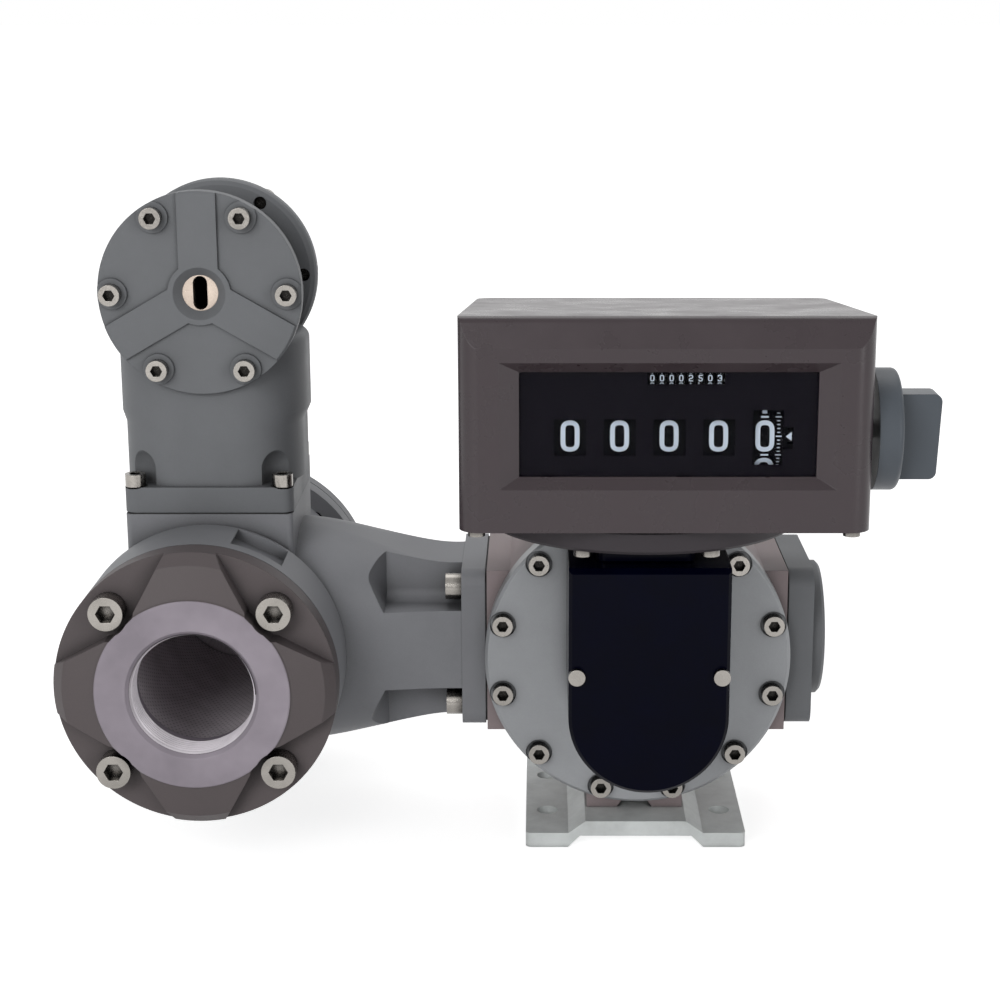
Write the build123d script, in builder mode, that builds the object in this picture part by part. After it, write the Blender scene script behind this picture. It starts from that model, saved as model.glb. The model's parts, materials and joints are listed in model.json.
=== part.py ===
from build123d import *
from math import acos, cos, hypot, pi, radians, sin, tan
import os

# A mechanical oval-gear flow meter with a strainer, an air eliminator and a reset counter.
# Millimetres, +Z up, the counter faces -Y, the liquid enters at the left and leaves along +X.
# The origin is the centre of the base bracket's underside.

# Shared clearances
fit_gap = 0.05
hole_gap = 0.3
running_gap = 0.3
gasket_thickness = 0.8

# Flow axis
port_height = 98.4
port_radius = 24.0
thread_radius = 29.3
mouth_radius = 31.0
port_bolt_spacing = 60.0
port_flange_side = 80.0

# Base bracket
base_width = 109.4
base_depth = 108.0
foot_thickness = 7.5
foot_width = 21.0
base_height = 13.7
bridge_gap = 6.0
bridge_width = 50.0
ramp_run = 8.5
base_bolt_spacing_x = 87.8
base_bolt_spacing_y = 48.0
base_bolt_radius = 5.2
base_screw_spacing = 48.0

# Meter body and its two end plates
body_radius = 74.5
body_depth = 82.0
body_block_width = 147.4
body_block_height = 82.0
pedestal_width = 48.0
pedestal_depth = 70.0
plate_thickness = 13.0
plate_screw_count = 12
plate_screw_circle = 68.0
plate_screw_start = 15.0
spotface_radius = 6.4
spotface_depth = 2.0
seal_radius = 60.6
seal_side = 2.0

# Oval gears: pitch curve r = oval_mean / (1 - oval_eccentricity * cos(2 * angle))
oval_mean = 21.0
oval_eccentricity = 0.29
oval_teeth = 18
oval_tooth_share = 0.12
oval_addendum = 0.9
oval_dedendum = 1.2
oval_backlash = 1.0
gear_centres = 2 * oval_mean / (1 - oval_eccentricity**2) + oval_backlash
oval_tip = oval_mean / (1 - oval_eccentricity) + oval_addendum
chamber_radius = oval_tip + running_gap
shaft_radius = 6.0
bush_radius = 9.0
bush_length = 8.6
lip_seal_radius = 11.0
lip_seal_length = 4.0

# Gear train in front of the front plate
gear_module = 1.0
fine_module = 0.9
bevel_module = 0.8
pinion_teeth = 14
idler_teeth = 56
idler_pinion_teeth = 10
cross_gear_teeth = 50
bevel_teeth = 16
gear_face = 6.0
spindle_radius = 3.0
register_shaft_y = -62.0
bracket_wall_gap = 17.0
bracket_wall = 6.0
bracket_width = 44.0
gear_cover_x = 1.5
gear_cover_width = 72.6
gear_cover_front = -130.0
gear_cover_bottom = 59.0
gear_cover_top = 165.0
gear_cover_wall = 2.6
gear_cover_bevel = 4.0

# Strainer
strainer_x = -208.3
strainer_length = 216.0
strainer_barrel_radius = 59.0
strainer_bore_radius = 46.0
strainer_flange_radius = 66.0
strainer_flange_thickness = 12.0
strainer_band_length = 36.0
inlet_flange_thickness = 23.5
inlet_ring_radius = 45.0
strainer_bolt_spacing = 77.0
basket_radius = 38.0
basket_wall = 1.5
neck_flange_thickness = 11.7
neck_notch = 20.0
neck_notch_length = 38.0
neck_notch_runout = 18.0
pad_top = 167.7
pad_side = 81.0

# Air eliminator
vent_height = 275.5
vent_cover_radius = 48.2
vent_cover_thickness = 9.0
vent_front = -43.5
vent_body_half = 45.8
vent_body_top = 252.0
vent_drum_radius = 38.5
vent_bore_radius = 34.0
vent_front_flange = 8.5
vent_front_flange_radius = 46.5
vent_rear_flange = 9.0
vent_rear_flange_radius = 48.0
column_flange_thickness = 12.5
column_half_x = 43.5
column_bolt_spacing = 71.4
column_corner_radius = 30.0
vent_screw_circle = 41.5
vent_insert_radius = 8.5
float_radius = 20.0

# Register
disc_radius = 75.0
disc_bottom = 173.4
disc_thickness = 11.0
register_x = 7.0
register_width = 181.0
register_back_width = 170.0
register_front = -140.0
register_back = 0.0
register_wall = 3.0
front_face_top = 265.7
housing_top_front = 279.0
housing_top_back = 267.5
dial_width = 129.4
dial_height = 46.3
dial_x = 8.0
dial_z = 231.6
bezel_border = 8.6
bezel_depth = 5.0
wheel_radius = 27.0
wheel_width = 17.0
wheel_pitch = 21.6
units_wheel_x = 51.9
wheel_y = -102.5
wheel_z = 223.2
window_z = 225.4
wheel_count = 5
wheel_gear_teeth = 54
counter_pinion_teeth = 27
knob_skirt_radius = 27.5
knob_skirt_width = 11.0
knob_gap = 3.3
knob_end = 131.4
handle_top = 17.0
handle_bottom = -21.7
handle_width = 15.0
handle_slant = 1.8

# Fasteners: head radius, head height, shank radius, key radius
M4 = (3.8, 3.0, 1.9)
M5 = (4.2, 3.8, 2.4)
M6 = (5.0, 6.0, 2.9)
M8 = (6.5, 8.0, 3.9)
M10 = (8.0, 10.0, 4.9)

BASE = (Align.CENTER, Align.CENTER, Align.MIN)
TOP = (Align.CENTER, Align.CENTER, Align.MAX)


def front_plane(y):
    """Looks out of the front: local x is +X, local y is +Z."""
    return Plane((0, y, 0), x_dir=(1, 0, 0), z_dir=(0, -1, 0))


def rear_plane(y):
    """Looks out of the back: local x is -X, local y is +Z."""
    return Plane((0, y, 0), x_dir=(-1, 0, 0), z_dir=(0, 1, 0))


def right_plane(x):
    """Looks along +X: local x is +Y, local y is +Z."""
    return Plane((x, 0, 0), x_dir=(0, 1, 0), z_dir=(1, 0, 0))


def left_plane(x):
    """Looks along -X: local x is -Y, local y is +Z."""
    return Plane((x, 0, 0), x_dir=(0, -1, 0), z_dir=(-1, 0, 0))


def moved_to(plane, u, v):
    """The same plane with its origin at a local point."""
    return Plane(plane.from_local_coords((u, v, 0)), x_dir=plane.x_dir, z_dir=plane.z_dir)


def ring_points(radius, count, start, centre=(0, 0)):
    angles = [radians(start + 360 * k / count) for k in range(count)]
    return [(centre[0] + radius * cos(a), centre[1] + radius * sin(a)) for a in angles]


def square_points(spacing, centre=(0, 0)):
    half = spacing / 2
    return [(centre[0] + i * half, centre[1] + k * half) for i in (-1, 1) for k in (-1, 1)]


def places_on(plane, points):
    return [plane.location * Location((u, v, 0)) for u, v in points]


def turned(plane, outline):
    """A solid of revolution about the plane's local y axis."""
    with BuildPart() as solid:
        with BuildSketch(plane):
            with BuildLine():
                Polyline(*outline, close=True)
            make_face()
        revolve(axis=Axis(plane.origin, plane.y_dir))
    return solid.part


def rod(plane, centre, radius, length, bore=0):
    """A round bar or tube that stands on a plane, along its normal."""
    with BuildPart() as bar:
        with BuildSketch(plane):
            with Locations(centre):
                Circle(radius)
                if bore:
                    Circle(bore, mode=Mode.SUBTRACT)
        extrude(amount=length)
    return bar.part


def cap_screw(size, length, key=0):
    """A cylinder-head screw whose head stands on z = 0."""
    head_radius, head_height, shank_radius = size
    with BuildPart() as screw:
        Cylinder(head_radius, head_height, align=BASE)
        Cylinder(shank_radius, length, align=TOP)
        if key:
            with BuildSketch(Plane.XY.offset(head_height)):
                RegularPolygon(key, 6)
            extrude(amount=-0.6 * head_height, mode=Mode.SUBTRACT)
    return screw.part


def group_of(piece, places):
    """The same piece at several places, as separate solids."""
    with BuildPart() as group:
        with Locations(*places):
            add(piece)
    return group


def gear_points(teeth, module, phase=0.0):
    """A spur gear's outline with involute flanks; phase 0 puts a tooth on local +x."""
    pitch = teeth * module / 2
    base = pitch * cos(radians(20))
    tip = pitch + 0.9 * module
    root = pitch - 1.15 * module
    half_tooth = 0.44 * pi / teeth

    def half_angle(radius):
        roll = acos(base / max(radius, base))
        involute = tan(roll) - roll
        reference = tan(radians(20)) - radians(20)
        return half_tooth + reference - involute

    steps = (root, (root + pitch) / 2, pitch, tip)
    points = []
    for k in range(teeth):
        centre = radians(phase) + 2 * pi * k / teeth
        for radius in steps:
            angle = centre - half_angle(radius)
            points.append((radius * cos(angle), radius * sin(angle)))
        for radius in reversed(steps):
            angle = centre + half_angle(radius)
            points.append((radius * cos(angle), radius * sin(angle)))
    return points


def spur_gear(plane, centre, teeth, module, width, bore, phase=0.0):
    with BuildPart() as gear:
        with BuildSketch(moved_to(plane, *centre)):
            with BuildLine():
                Polyline(*gear_points(teeth, module, phase), close=True)
            make_face()
            if bore:
                Circle(bore, mode=Mode.SUBTRACT)
        extrude(amount=width)
    return gear.part


def bevel_gear(plane, teeth, module, bore, phase=0.0):
    """A 45 degree bevel: the cone's apex is the plane's origin, the back is at its pitch radius."""
    back = teeth * module / 2
    front = 0.55 * back
    with BuildPart() as gear:
        with BuildSketch(plane.offset(back)):
            with BuildLine():
                Polyline(*gear_points(teeth, module, phase), close=True)
            make_face()
        with BuildSketch(plane.offset(front)):
            with BuildLine():
                Polyline(*gear_points(teeth, module * front / back, phase), close=True)
            make_face()
        loft(ruled=True)
        with Locations(plane.offset(back)):
            Cylinder(bore + 2.5, 2.0, align=BASE)
            Hole(bore)
    return gear.part


def oval_radius(angle):
    return oval_mean / (1 - oval_eccentricity * cos(2 * angle))


def oval_slope(angle):
    squeeze = 1 - oval_eccentricity * cos(2 * angle)
    return -2 * oval_mean * oval_eccentricity * sin(2 * angle) / squeeze**2


def oval_gear_points():
    """Teeth spaced evenly along the oval pitch curve, each square to the curve."""
    steps = 720
    turn = 2 * pi / steps
    angles = [turn * k for k in range(steps + 1)]
    lengths = [0.0]
    for k in range(steps):
        middle = turn * (k + 0.5)
        lengths.append(lengths[-1] + turn * hypot(oval_radius(middle), oval_slope(middle)))
    pitch = lengths[-1] / oval_teeth

    def angle_at(distance):
        distance = distance % lengths[-1]
        k = max(i for i in range(steps) if lengths[i] <= distance)
        part = (distance - lengths[k]) / (lengths[k + 1] - lengths[k])
        return angles[k] + part * turn

    def point(distance, height):
        angle = angle_at(distance)
        radius, slope = oval_radius(angle), oval_slope(angle)
        along = Vector(slope * cos(angle) - radius * sin(angle), slope * sin(angle) + radius * cos(angle))
        outward = Vector(along.Y, -along.X).normalized() * height
        return (radius * cos(angle) + outward.X, radius * sin(angle) + outward.Y)

    half_tooth = oval_tooth_share * pitch
    flank = 0.36
    points = []
    for k in range(oval_teeth):
        centre = k * pitch
        points.append(point(centre - half_tooth - flank * oval_dedendum, -oval_dedendum))
        points.append(point(centre - half_tooth + flank * oval_addendum, oval_addendum))
        points.append(point(centre + half_tooth - flank * oval_addendum, oval_addendum))
        points.append(point(centre + half_tooth + flank * oval_dedendum, -oval_dedendum))
    return points


# Base bracket: two feet joined by a raised bridge
foot_inner = base_width / 2 - foot_width
bridge_half = bridge_width / 2
base_bolt_points = [
    (i * base_bolt_spacing_x / 2, k * base_bolt_spacing_y / 2) for i in (-1, 1) for k in (-1, 1)
]
base_screw_places = [Location((0, k * base_screw_spacing / 2, bridge_gap), (180, 0, 0)) for k in (-1, 1)]
right_side = [
    (foot_inner, 0),
    (base_width / 2, 0),
    (base_width / 2, foot_thickness),
    (bridge_half + ramp_run, foot_thickness),
    (bridge_half, base_height),
]
left_side = [(-x, z) for x, z in reversed(right_side)]
under_bridge = [(-(foot_inner - bridge_gap), bridge_gap), (foot_inner - bridge_gap, bridge_gap)]
with BuildPart() as base_bracket:
    with BuildSketch(front_plane(-base_depth / 2)):
        with BuildLine():
            Polyline(*under_bridge, *right_side, *left_side, close=True)
        make_face()
    extrude(amount=-base_depth)
    fillet(base_bracket.edges().filter_by(Axis.Z), 3)
    with Locations(*[(x, y, foot_thickness) for x, y in base_bolt_points]):
        Hole(base_bolt_radius)
    with Locations(*base_screw_places):
        CounterSinkHole(radius=M8[2] + hole_gap, counter_sink_radius=2 * M8[2] + hole_gap)

with BuildPart() as countersunk_screw:
    Cylinder(M8[2], 24, align=TOP)
    with Locations((0, 0, 0)):
        Cone(M8[2], 2 * M8[2], M8[2], align=TOP)
base_screws = group_of(countersunk_screw.part, base_screw_places)

# Meter body: a drum with a cross block for the ports and a pedestal underneath
body_front = -body_depth / 2
body_back = body_depth / 2
port_face = body_block_width / 2
lower_gear_z = port_height - gear_centres / 2
upper_gear_z = port_height + gear_centres / 2
plate_screw_points = ring_points(plate_screw_circle, plate_screw_count, plate_screw_start, (0, port_height))
port_bolt_points = square_points(port_bolt_spacing, (0, port_height))
with BuildPart() as meter_body:
    with BuildSketch(front_plane(body_front)):
        with Locations((0, port_height)):
            Circle(body_radius)
            Rectangle(body_block_width, 2 * body_radius, mode=Mode.INTERSECT)
            Rectangle(body_block_width, body_block_height)
    extrude(amount=-body_depth)
    with BuildSketch(Plane.XY.offset(base_height)):
        Rectangle(pedestal_width, pedestal_depth)
    extrude(amount=30)
    with BuildSketch(front_plane(-pedestal_depth / 2 - 1)):
        with BuildLine():
            Polyline(
                (-9, base_height),
                (9, base_height),
                (6, base_height + 4),
                (-6, base_height + 4),
                close=True,
            )
        make_face()
    extrude(amount=-pedestal_depth - 2, mode=Mode.SUBTRACT)
    with BuildSketch(front_plane(body_front)):
        with Locations((0, lower_gear_z), (0, upper_gear_z)):
            Circle(chamber_radius)
    extrude(amount=-body_depth, mode=Mode.SUBTRACT)
    with BuildSketch(right_plane(port_face)):
        with Locations((0, port_height)):
            Circle(port_radius)
    with BuildSketch(right_plane(0.27 * port_face)):
        with Locations((0, port_height)):
            RectangleRounded(64, 26, 8)
    loft(mode=Mode.SUBTRACT)
    with BuildSketch(left_plane(-port_face)):
        with Locations((0, port_height)):
            Circle(port_radius)
    with BuildSketch(left_plane(-0.27 * port_face)):
        with Locations((0, port_height)):
            RectangleRounded(64, 26, 8)
    loft(mode=Mode.SUBTRACT)
    for plane in (front_plane(body_front), rear_plane(body_back)):
        with Locations(*places_on(plane, plate_screw_points)):
            Hole(M6[2] + hole_gap, depth=16)
        with BuildSketch(plane):
            with Locations((0, port_height)):
                Circle(seal_radius + 1.1)
                Circle(seal_radius - 1.1, mode=Mode.SUBTRACT)
        extrude(amount=-seal_side, mode=Mode.SUBTRACT)
    for plane in (left_plane(-port_face), right_plane(port_face)):
        with Locations(*places_on(plane, port_bolt_points)):
            Hole(M8[2] + hole_gap, depth=20)
    with Locations(*[(0, k * base_screw_spacing / 2, base_height + 10) for k in (-1, 1)]):
        Cylinder(M8[2] + hole_gap, 20, mode=Mode.SUBTRACT)

with BuildPart() as plate_seals:
    for y in (body_front, body_back - seal_side):
        with BuildSketch(rear_plane(y)):
            with Locations((0, port_height)):
                Circle(seal_radius + seal_side / 2)
                Circle(seal_radius - seal_side / 2, mode=Mode.SUBTRACT)
        extrude(amount=seal_side)

# End plates with the shaft bearings and the shaft seal
plate_front = body_front - plate_thickness
plate_back = body_back + plate_thickness
with BuildPart() as front_plate:
    with BuildSketch(front_plane(body_front)):
        with Locations((0, port_height)):
            Circle(body_radius)
    extrude(amount=plate_thickness)
    chamfer(front_plate.edges().group_by(Axis.Y)[0], 1.5)
    with BuildSketch(front_plane(plate_front)):
        with Locations(*plate_screw_points):
            Circle(spotface_radius)
    extrude(amount=-spotface_depth, mode=Mode.SUBTRACT)
    with Locations(*places_on(front_plane(plate_front), plate_screw_points)):
        Hole(M6[2] + hole_gap)
    with BuildSketch(rear_plane(body_front)):
        with Locations((0, lower_gear_z), (0, upper_gear_z)):
            Circle(bush_radius)
    extrude(amount=-(plate_thickness - lip_seal_length), mode=Mode.SUBTRACT)
    with BuildSketch(front_plane(plate_front)):
        with Locations((0, lower_gear_z)):
            Circle(lip_seal_radius)
    extrude(amount=-lip_seal_length, mode=Mode.SUBTRACT)

with BuildPart() as rear_plate:
    with BuildSketch(rear_plane(body_back)):
        with Locations((0, port_height)):
            Circle(body_radius)
    extrude(amount=plate_thickness)
    chamfer(rear_plate.edges().group_by(Axis.Y)[-1], 1.5)
    with BuildSketch(rear_plane(plate_back)):
        with Locations(*plate_screw_points):
            Circle(spotface_radius)
    extrude(amount=-spotface_depth, mode=Mode.SUBTRACT)
    with Locations(*places_on(rear_plane(plate_back), plate_screw_points)):
        Hole(M6[2] + hole_gap)
    with BuildSketch(front_plane(body_back)):
        with Locations((0, lower_gear_z), (0, upper_gear_z)):
            Circle(bush_radius)
    extrude(amount=-(plate_thickness - lip_seal_length), mode=Mode.SUBTRACT)

plate_screws = group_of(
    cap_screw(M6, plate_thickness - spotface_depth + 14, 2.9),
    places_on(front_plane(plate_front + spotface_depth), plate_screw_points)
    + places_on(rear_plane(plate_back - spotface_depth), plate_screw_points),
)

with BuildPart() as shaft_bushes:
    for plane in (front_plane(body_front), rear_plane(body_back)):
        with BuildSketch(plane):
            with Locations((0, lower_gear_z), (0, upper_gear_z)):
                Circle(bush_radius)
                Circle(shaft_radius + fit_gap, mode=Mode.SUBTRACT)
        extrude(amount=bush_length)

with BuildPart() as shaft_seal:
    with BuildSketch(front_plane(plate_front + lip_seal_length)):
        with Locations((0, lower_gear_z)):
            Circle(lip_seal_radius)
            Circle(shaft_radius + fit_gap, mode=Mode.SUBTRACT)
    extrude(amount=lip_seal_length)

# Oval gears: the lower one stands upright, the upper one lies across it
gear_length = body_depth - 2 * running_gap


def oval_gear(height, long_axis):
    """A rotor whose long axis points along long_axis."""
    with BuildPart() as gear:
        with BuildSketch(Plane((0, gear_length / 2, height), x_dir=long_axis, z_dir=(0, -1, 0))):
            with BuildLine():
                Polyline(*oval_gear_points(), close=True)
            make_face()
            Circle(shaft_radius + fit_gap, mode=Mode.SUBTRACT)
        extrude(amount=gear_length)
    return gear


oval_gear_lower = oval_gear(lower_gear_z, (0, 0, 1))
oval_gear_upper = oval_gear(upper_gear_z, (1, 0, 0))

stage_one_y = plate_front - 3
idler_z = lower_gear_z + fine_module * (pinion_teeth + idler_teeth) / 2
cross_z = idler_z + fine_module * (idler_pinion_teeth + cross_gear_teeth) / 2
shaft_back = body_back + bush_length - running_gap
with BuildPart() as lower_gear_shaft:
    add(rod(front_plane(shaft_back), (0, lower_gear_z), shaft_radius, shaft_back - plate_front + 1))
    add(rod(front_plane(plate_front), (0, lower_gear_z), spindle_radius, 3 + gear_face))
with BuildPart() as upper_gear_shaft:
    add(rod(front_plane(shaft_back), (0, upper_gear_z), shaft_radius, 2 * shaft_back))

# Gear train
bracket_wall_back = plate_front - bracket_wall_gap
stage_two_y = bracket_wall_back - bracket_wall - 1
with BuildPart() as drive_pinion:
    add(
        spur_gear(
            front_plane(stage_one_y),
            (0, lower_gear_z),
            pinion_teeth,
            fine_module,
            gear_face,
            spindle_radius + fit_gap,
            phase=90,
        )
    )
with BuildPart() as idler_gear:
    add(
        spur_gear(
            front_plane(stage_one_y),
            (0, idler_z),
            idler_teeth,
            fine_module,
            gear_face,
            spindle_radius + fit_gap,
            phase=180 / idler_teeth - 90,
        )
    )
    with BuildSketch(front_plane(stage_one_y)):
        with Locations(*ring_points(18, 5, 90, (0, idler_z))):
            Circle(6)
    extrude(amount=gear_face, mode=Mode.SUBTRACT)
with BuildPart() as idler_spindle:
    add(rod(front_plane(stage_one_y), (0, idler_z), spindle_radius, stage_one_y - stage_two_y))
    add(
        spur_gear(
            front_plane(stage_two_y),
            (0, idler_z),
            idler_pinion_teeth,
            fine_module,
            gear_face,
            0,
            phase=90,
        )
    )
cross_axis_plane = Plane((0, register_shaft_y, cross_z), x_dir=(1, 0, 0), z_dir=(0, -1, 0))
bevel_back = bevel_teeth * bevel_module / 2
with BuildPart() as cross_gears:
    add(
        spur_gear(
            front_plane(stage_two_y),
            (0, cross_z),
            cross_gear_teeth,
            fine_module,
            gear_face,
            spindle_radius + fit_gap,
            phase=180 / cross_gear_teeth - 90,
        )
    )
    add(bevel_gear(cross_axis_plane, bevel_teeth, bevel_module, spindle_radius + fit_gap, phase=90))
with BuildPart() as cross_shaft:
    add(
        rod(
            front_plane(register_shaft_y - bevel_back * 0.6),
            (0, cross_z),
            spindle_radius,
            register_shaft_y - bevel_back * 0.6 - stage_two_y + gear_face,
        )
    )

counter_z = wheel_z
vertical_bottom = Plane((0, register_shaft_y, cross_z), x_dir=(1, 0, 0), z_dir=(0, 0, 1))
vertical_top = Plane((0, register_shaft_y, counter_z), x_dir=(1, 0, 0), z_dir=(0, 0, -1))
with BuildPart() as vertical_bevels:
    add(
        bevel_gear(
            vertical_bottom,
            bevel_teeth,
            bevel_module,
            spindle_radius + fit_gap,
            phase=90 + 180 / bevel_teeth,
        )
    )
    add(
        bevel_gear(
            vertical_top,
            bevel_teeth,
            bevel_module,
            spindle_radius + fit_gap,
            phase=180 / bevel_teeth,
        )
    )
with BuildPart() as vertical_shaft:
    with Locations((0, register_shaft_y, cross_z + 0.6 * bevel_back)):
        Cylinder(spindle_radius, counter_z - cross_z - 1.2 * bevel_back, align=BASE)

# Gear-train bracket: a wall with bearing holes, four legs and a top flange under the disc
flange_top = disc_bottom
flange_bottom = gear_cover_top + 0.6
flange_back = plate_front - M6[1]
flange_front = register_shaft_y - 56
with BuildPart() as train_bracket:
    with BuildSketch(front_plane(bracket_wall_back)):
        with BuildLine():
            Polyline(
                (-bracket_width / 2, flange_bottom),
                (bracket_width / 2, flange_bottom),
                (bracket_width / 2, 90),
                (17, 70),
                (-17, 70),
                (-bracket_width / 2, 90),
                close=True,
            )
        make_face()
    extrude(amount=bracket_wall)
    with BuildSketch(front_plane(plate_front)):
        for side in (-1, 1):
            with Locations((side * 15.5, 76)):
                Rectangle(5, 8)
            with Locations((side * 17, 150)):
                Rectangle(10, 12)
    extrude(amount=plate_front - bracket_wall_back)
    with BuildSketch(Plane.XY.offset(flange_bottom)):
        with Locations((0, (flange_back + flange_front) / 2)):
            RectangleRounded(bracket_width, flange_back - flange_front, 4)
    extrude(amount=flange_top - flange_bottom)
    with Locations((0, register_shaft_y, flange_top)):
        Hole(spindle_radius + fit_gap, depth=flange_top - flange_bottom)
    with Locations(*places_on(front_plane(bracket_wall_back - bracket_wall), [(0, idler_z), (0, cross_z)])):
        Hole(spindle_radius + fit_gap, depth=bracket_wall)

# Gear-train cover: a deep open-backed shell with a half-round bottom
cover_arc = gear_cover_width / 2
cover_arc_z = gear_cover_bottom + cover_arc
cover_screw_points = [(gear_cover_x + i * 32.6, 115.4) for i in (-1, 1)]


def cover_face(inset):
    """The cover's front outline, drawn in by inset."""
    radius = cover_arc - inset
    top = gear_cover_top - inset
    with BuildSketch() as face:
        with Locations((gear_cover_x, cover_arc_z)):
            Circle(radius)
        with Locations((gear_cover_x, (cover_arc_z + top) / 2)):
            Rectangle(2 * radius, top - cover_arc_z)
    return face.sketch


with BuildPart() as gear_cover:
    with BuildSketch(front_plane(plate_front)):
        add(cover_face(0))
    extrude(amount=plate_front - gear_cover_front)
    chamfer(gear_cover.edges().group_by(Axis.Y)[0], 1.6)
    with BuildSketch(front_plane(plate_front)):
        add(cover_face(gear_cover_wall))
    extrude(amount=plate_front - gear_cover_front - gear_cover_wall, mode=Mode.SUBTRACT)
    with BuildSketch(front_plane(plate_front)):
        with Locations(*cover_screw_points):
            Circle(3.2)
    extrude(amount=plate_front - gear_cover_front)
    with Locations(*places_on(front_plane(gear_cover_front), cover_screw_points)):
        Hole(M4[2] + 0.1, depth=60)
    with BuildSketch(Plane.XY.offset(gear_cover_top - gear_cover_wall)):
        with Locations((0, (plate_front + bracket_wall_back - bracket_wall) / 2 - 1)):
            Rectangle(bracket_width + 2, plate_front - bracket_wall_back + bracket_wall + 6)
    extrude(amount=gear_cover_wall, mode=Mode.SUBTRACT)
    with BuildSketch(right_plane(gear_cover_x - cover_arc - 1)):
        with BuildLine():
            Polyline(
                (gear_cover_front - 1, gear_cover_top - gear_cover_bevel / 2 - 1),
                (gear_cover_front + gear_cover_bevel, gear_cover_top + 1),
                (gear_cover_front - 1, gear_cover_top + 1),
                close=True,
            )
        make_face()
    extrude(amount=gear_cover_width + 2, mode=Mode.SUBTRACT)

# Outlet flange
outlet_inner = port_face + gasket_thickness
outlet_plate = 12.5
outlet_boss = 7.0
outlet_boss_radius = 34.0
outlet_screw_pocket = M8[1] + 0.2
with BuildPart() as outlet_flange:
    with BuildSketch(right_plane(outlet_inner)):
        with Locations((0, port_height)):
            RectangleRounded(port_flange_side, port_flange_side, 9)
    extrude(amount=outlet_plate)
    with BuildSketch(right_plane(outlet_inner + outlet_plate)):
        with Locations((0, port_height)):
            Circle(outlet_boss_radius)
    extrude(amount=outlet_boss)
    chamfer(outlet_flange.edges().group_by(Axis.X)[-1], 1.5)
    with Locations(*places_on(right_plane(outlet_inner + outlet_plate + outlet_boss), [(0, port_height)])):
        Hole(port_radius)
        CounterSinkHole(radius=port_radius, counter_sink_radius=mouth_radius, counter_sink_angle=90)
    with BuildSketch(right_plane(outlet_inner + outlet_plate + outlet_boss)):
        with Locations((0, port_height)):
            Circle(thread_radius)
    extrude(amount=-(outlet_plate + outlet_boss), mode=Mode.SUBTRACT)
    with Locations(*places_on(right_plane(outlet_inner + outlet_plate), port_bolt_points)):
        CounterBoreHole(
            radius=M8[2] + hole_gap,
            counter_bore_radius=M8[0] + 2 * hole_gap,
            counter_bore_depth=outlet_screw_pocket,
            depth=outlet_plate,
        )

# Strainer
barrel_plane = Plane((strainer_x, 0, port_height), x_dir=(1, 0, 0), z_dir=(0, 0, 1))
inlet_face = -strainer_length / 2
inlet_back = inlet_face + inlet_flange_thickness
barrel_front = inlet_back + gasket_thickness
barrel_back = -barrel_front
cover_back = -inlet_back
neck_face = -(port_face + gasket_thickness)
neck_start = neck_face - neck_flange_thickness
strainer_bolt_points = square_points(strainer_bolt_spacing, (strainer_x, port_height))
mirrored_bolt_points = square_points(strainer_bolt_spacing, (-strainer_x, port_height))
column_bolt_points = square_points(column_bolt_spacing, (strainer_x, 0))
band_notch_angle = 25.0
band_notch_radius = strainer_flange_radius - 1.5
band_notch_place = Location(
    (
        strainer_x + band_notch_radius * sin(radians(band_notch_angle)),
        barrel_front + strainer_band_length / 2 + 3,
        port_height + band_notch_radius * cos(radians(band_notch_angle)),
    ),
    (0, band_notch_angle, 0),
)
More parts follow.
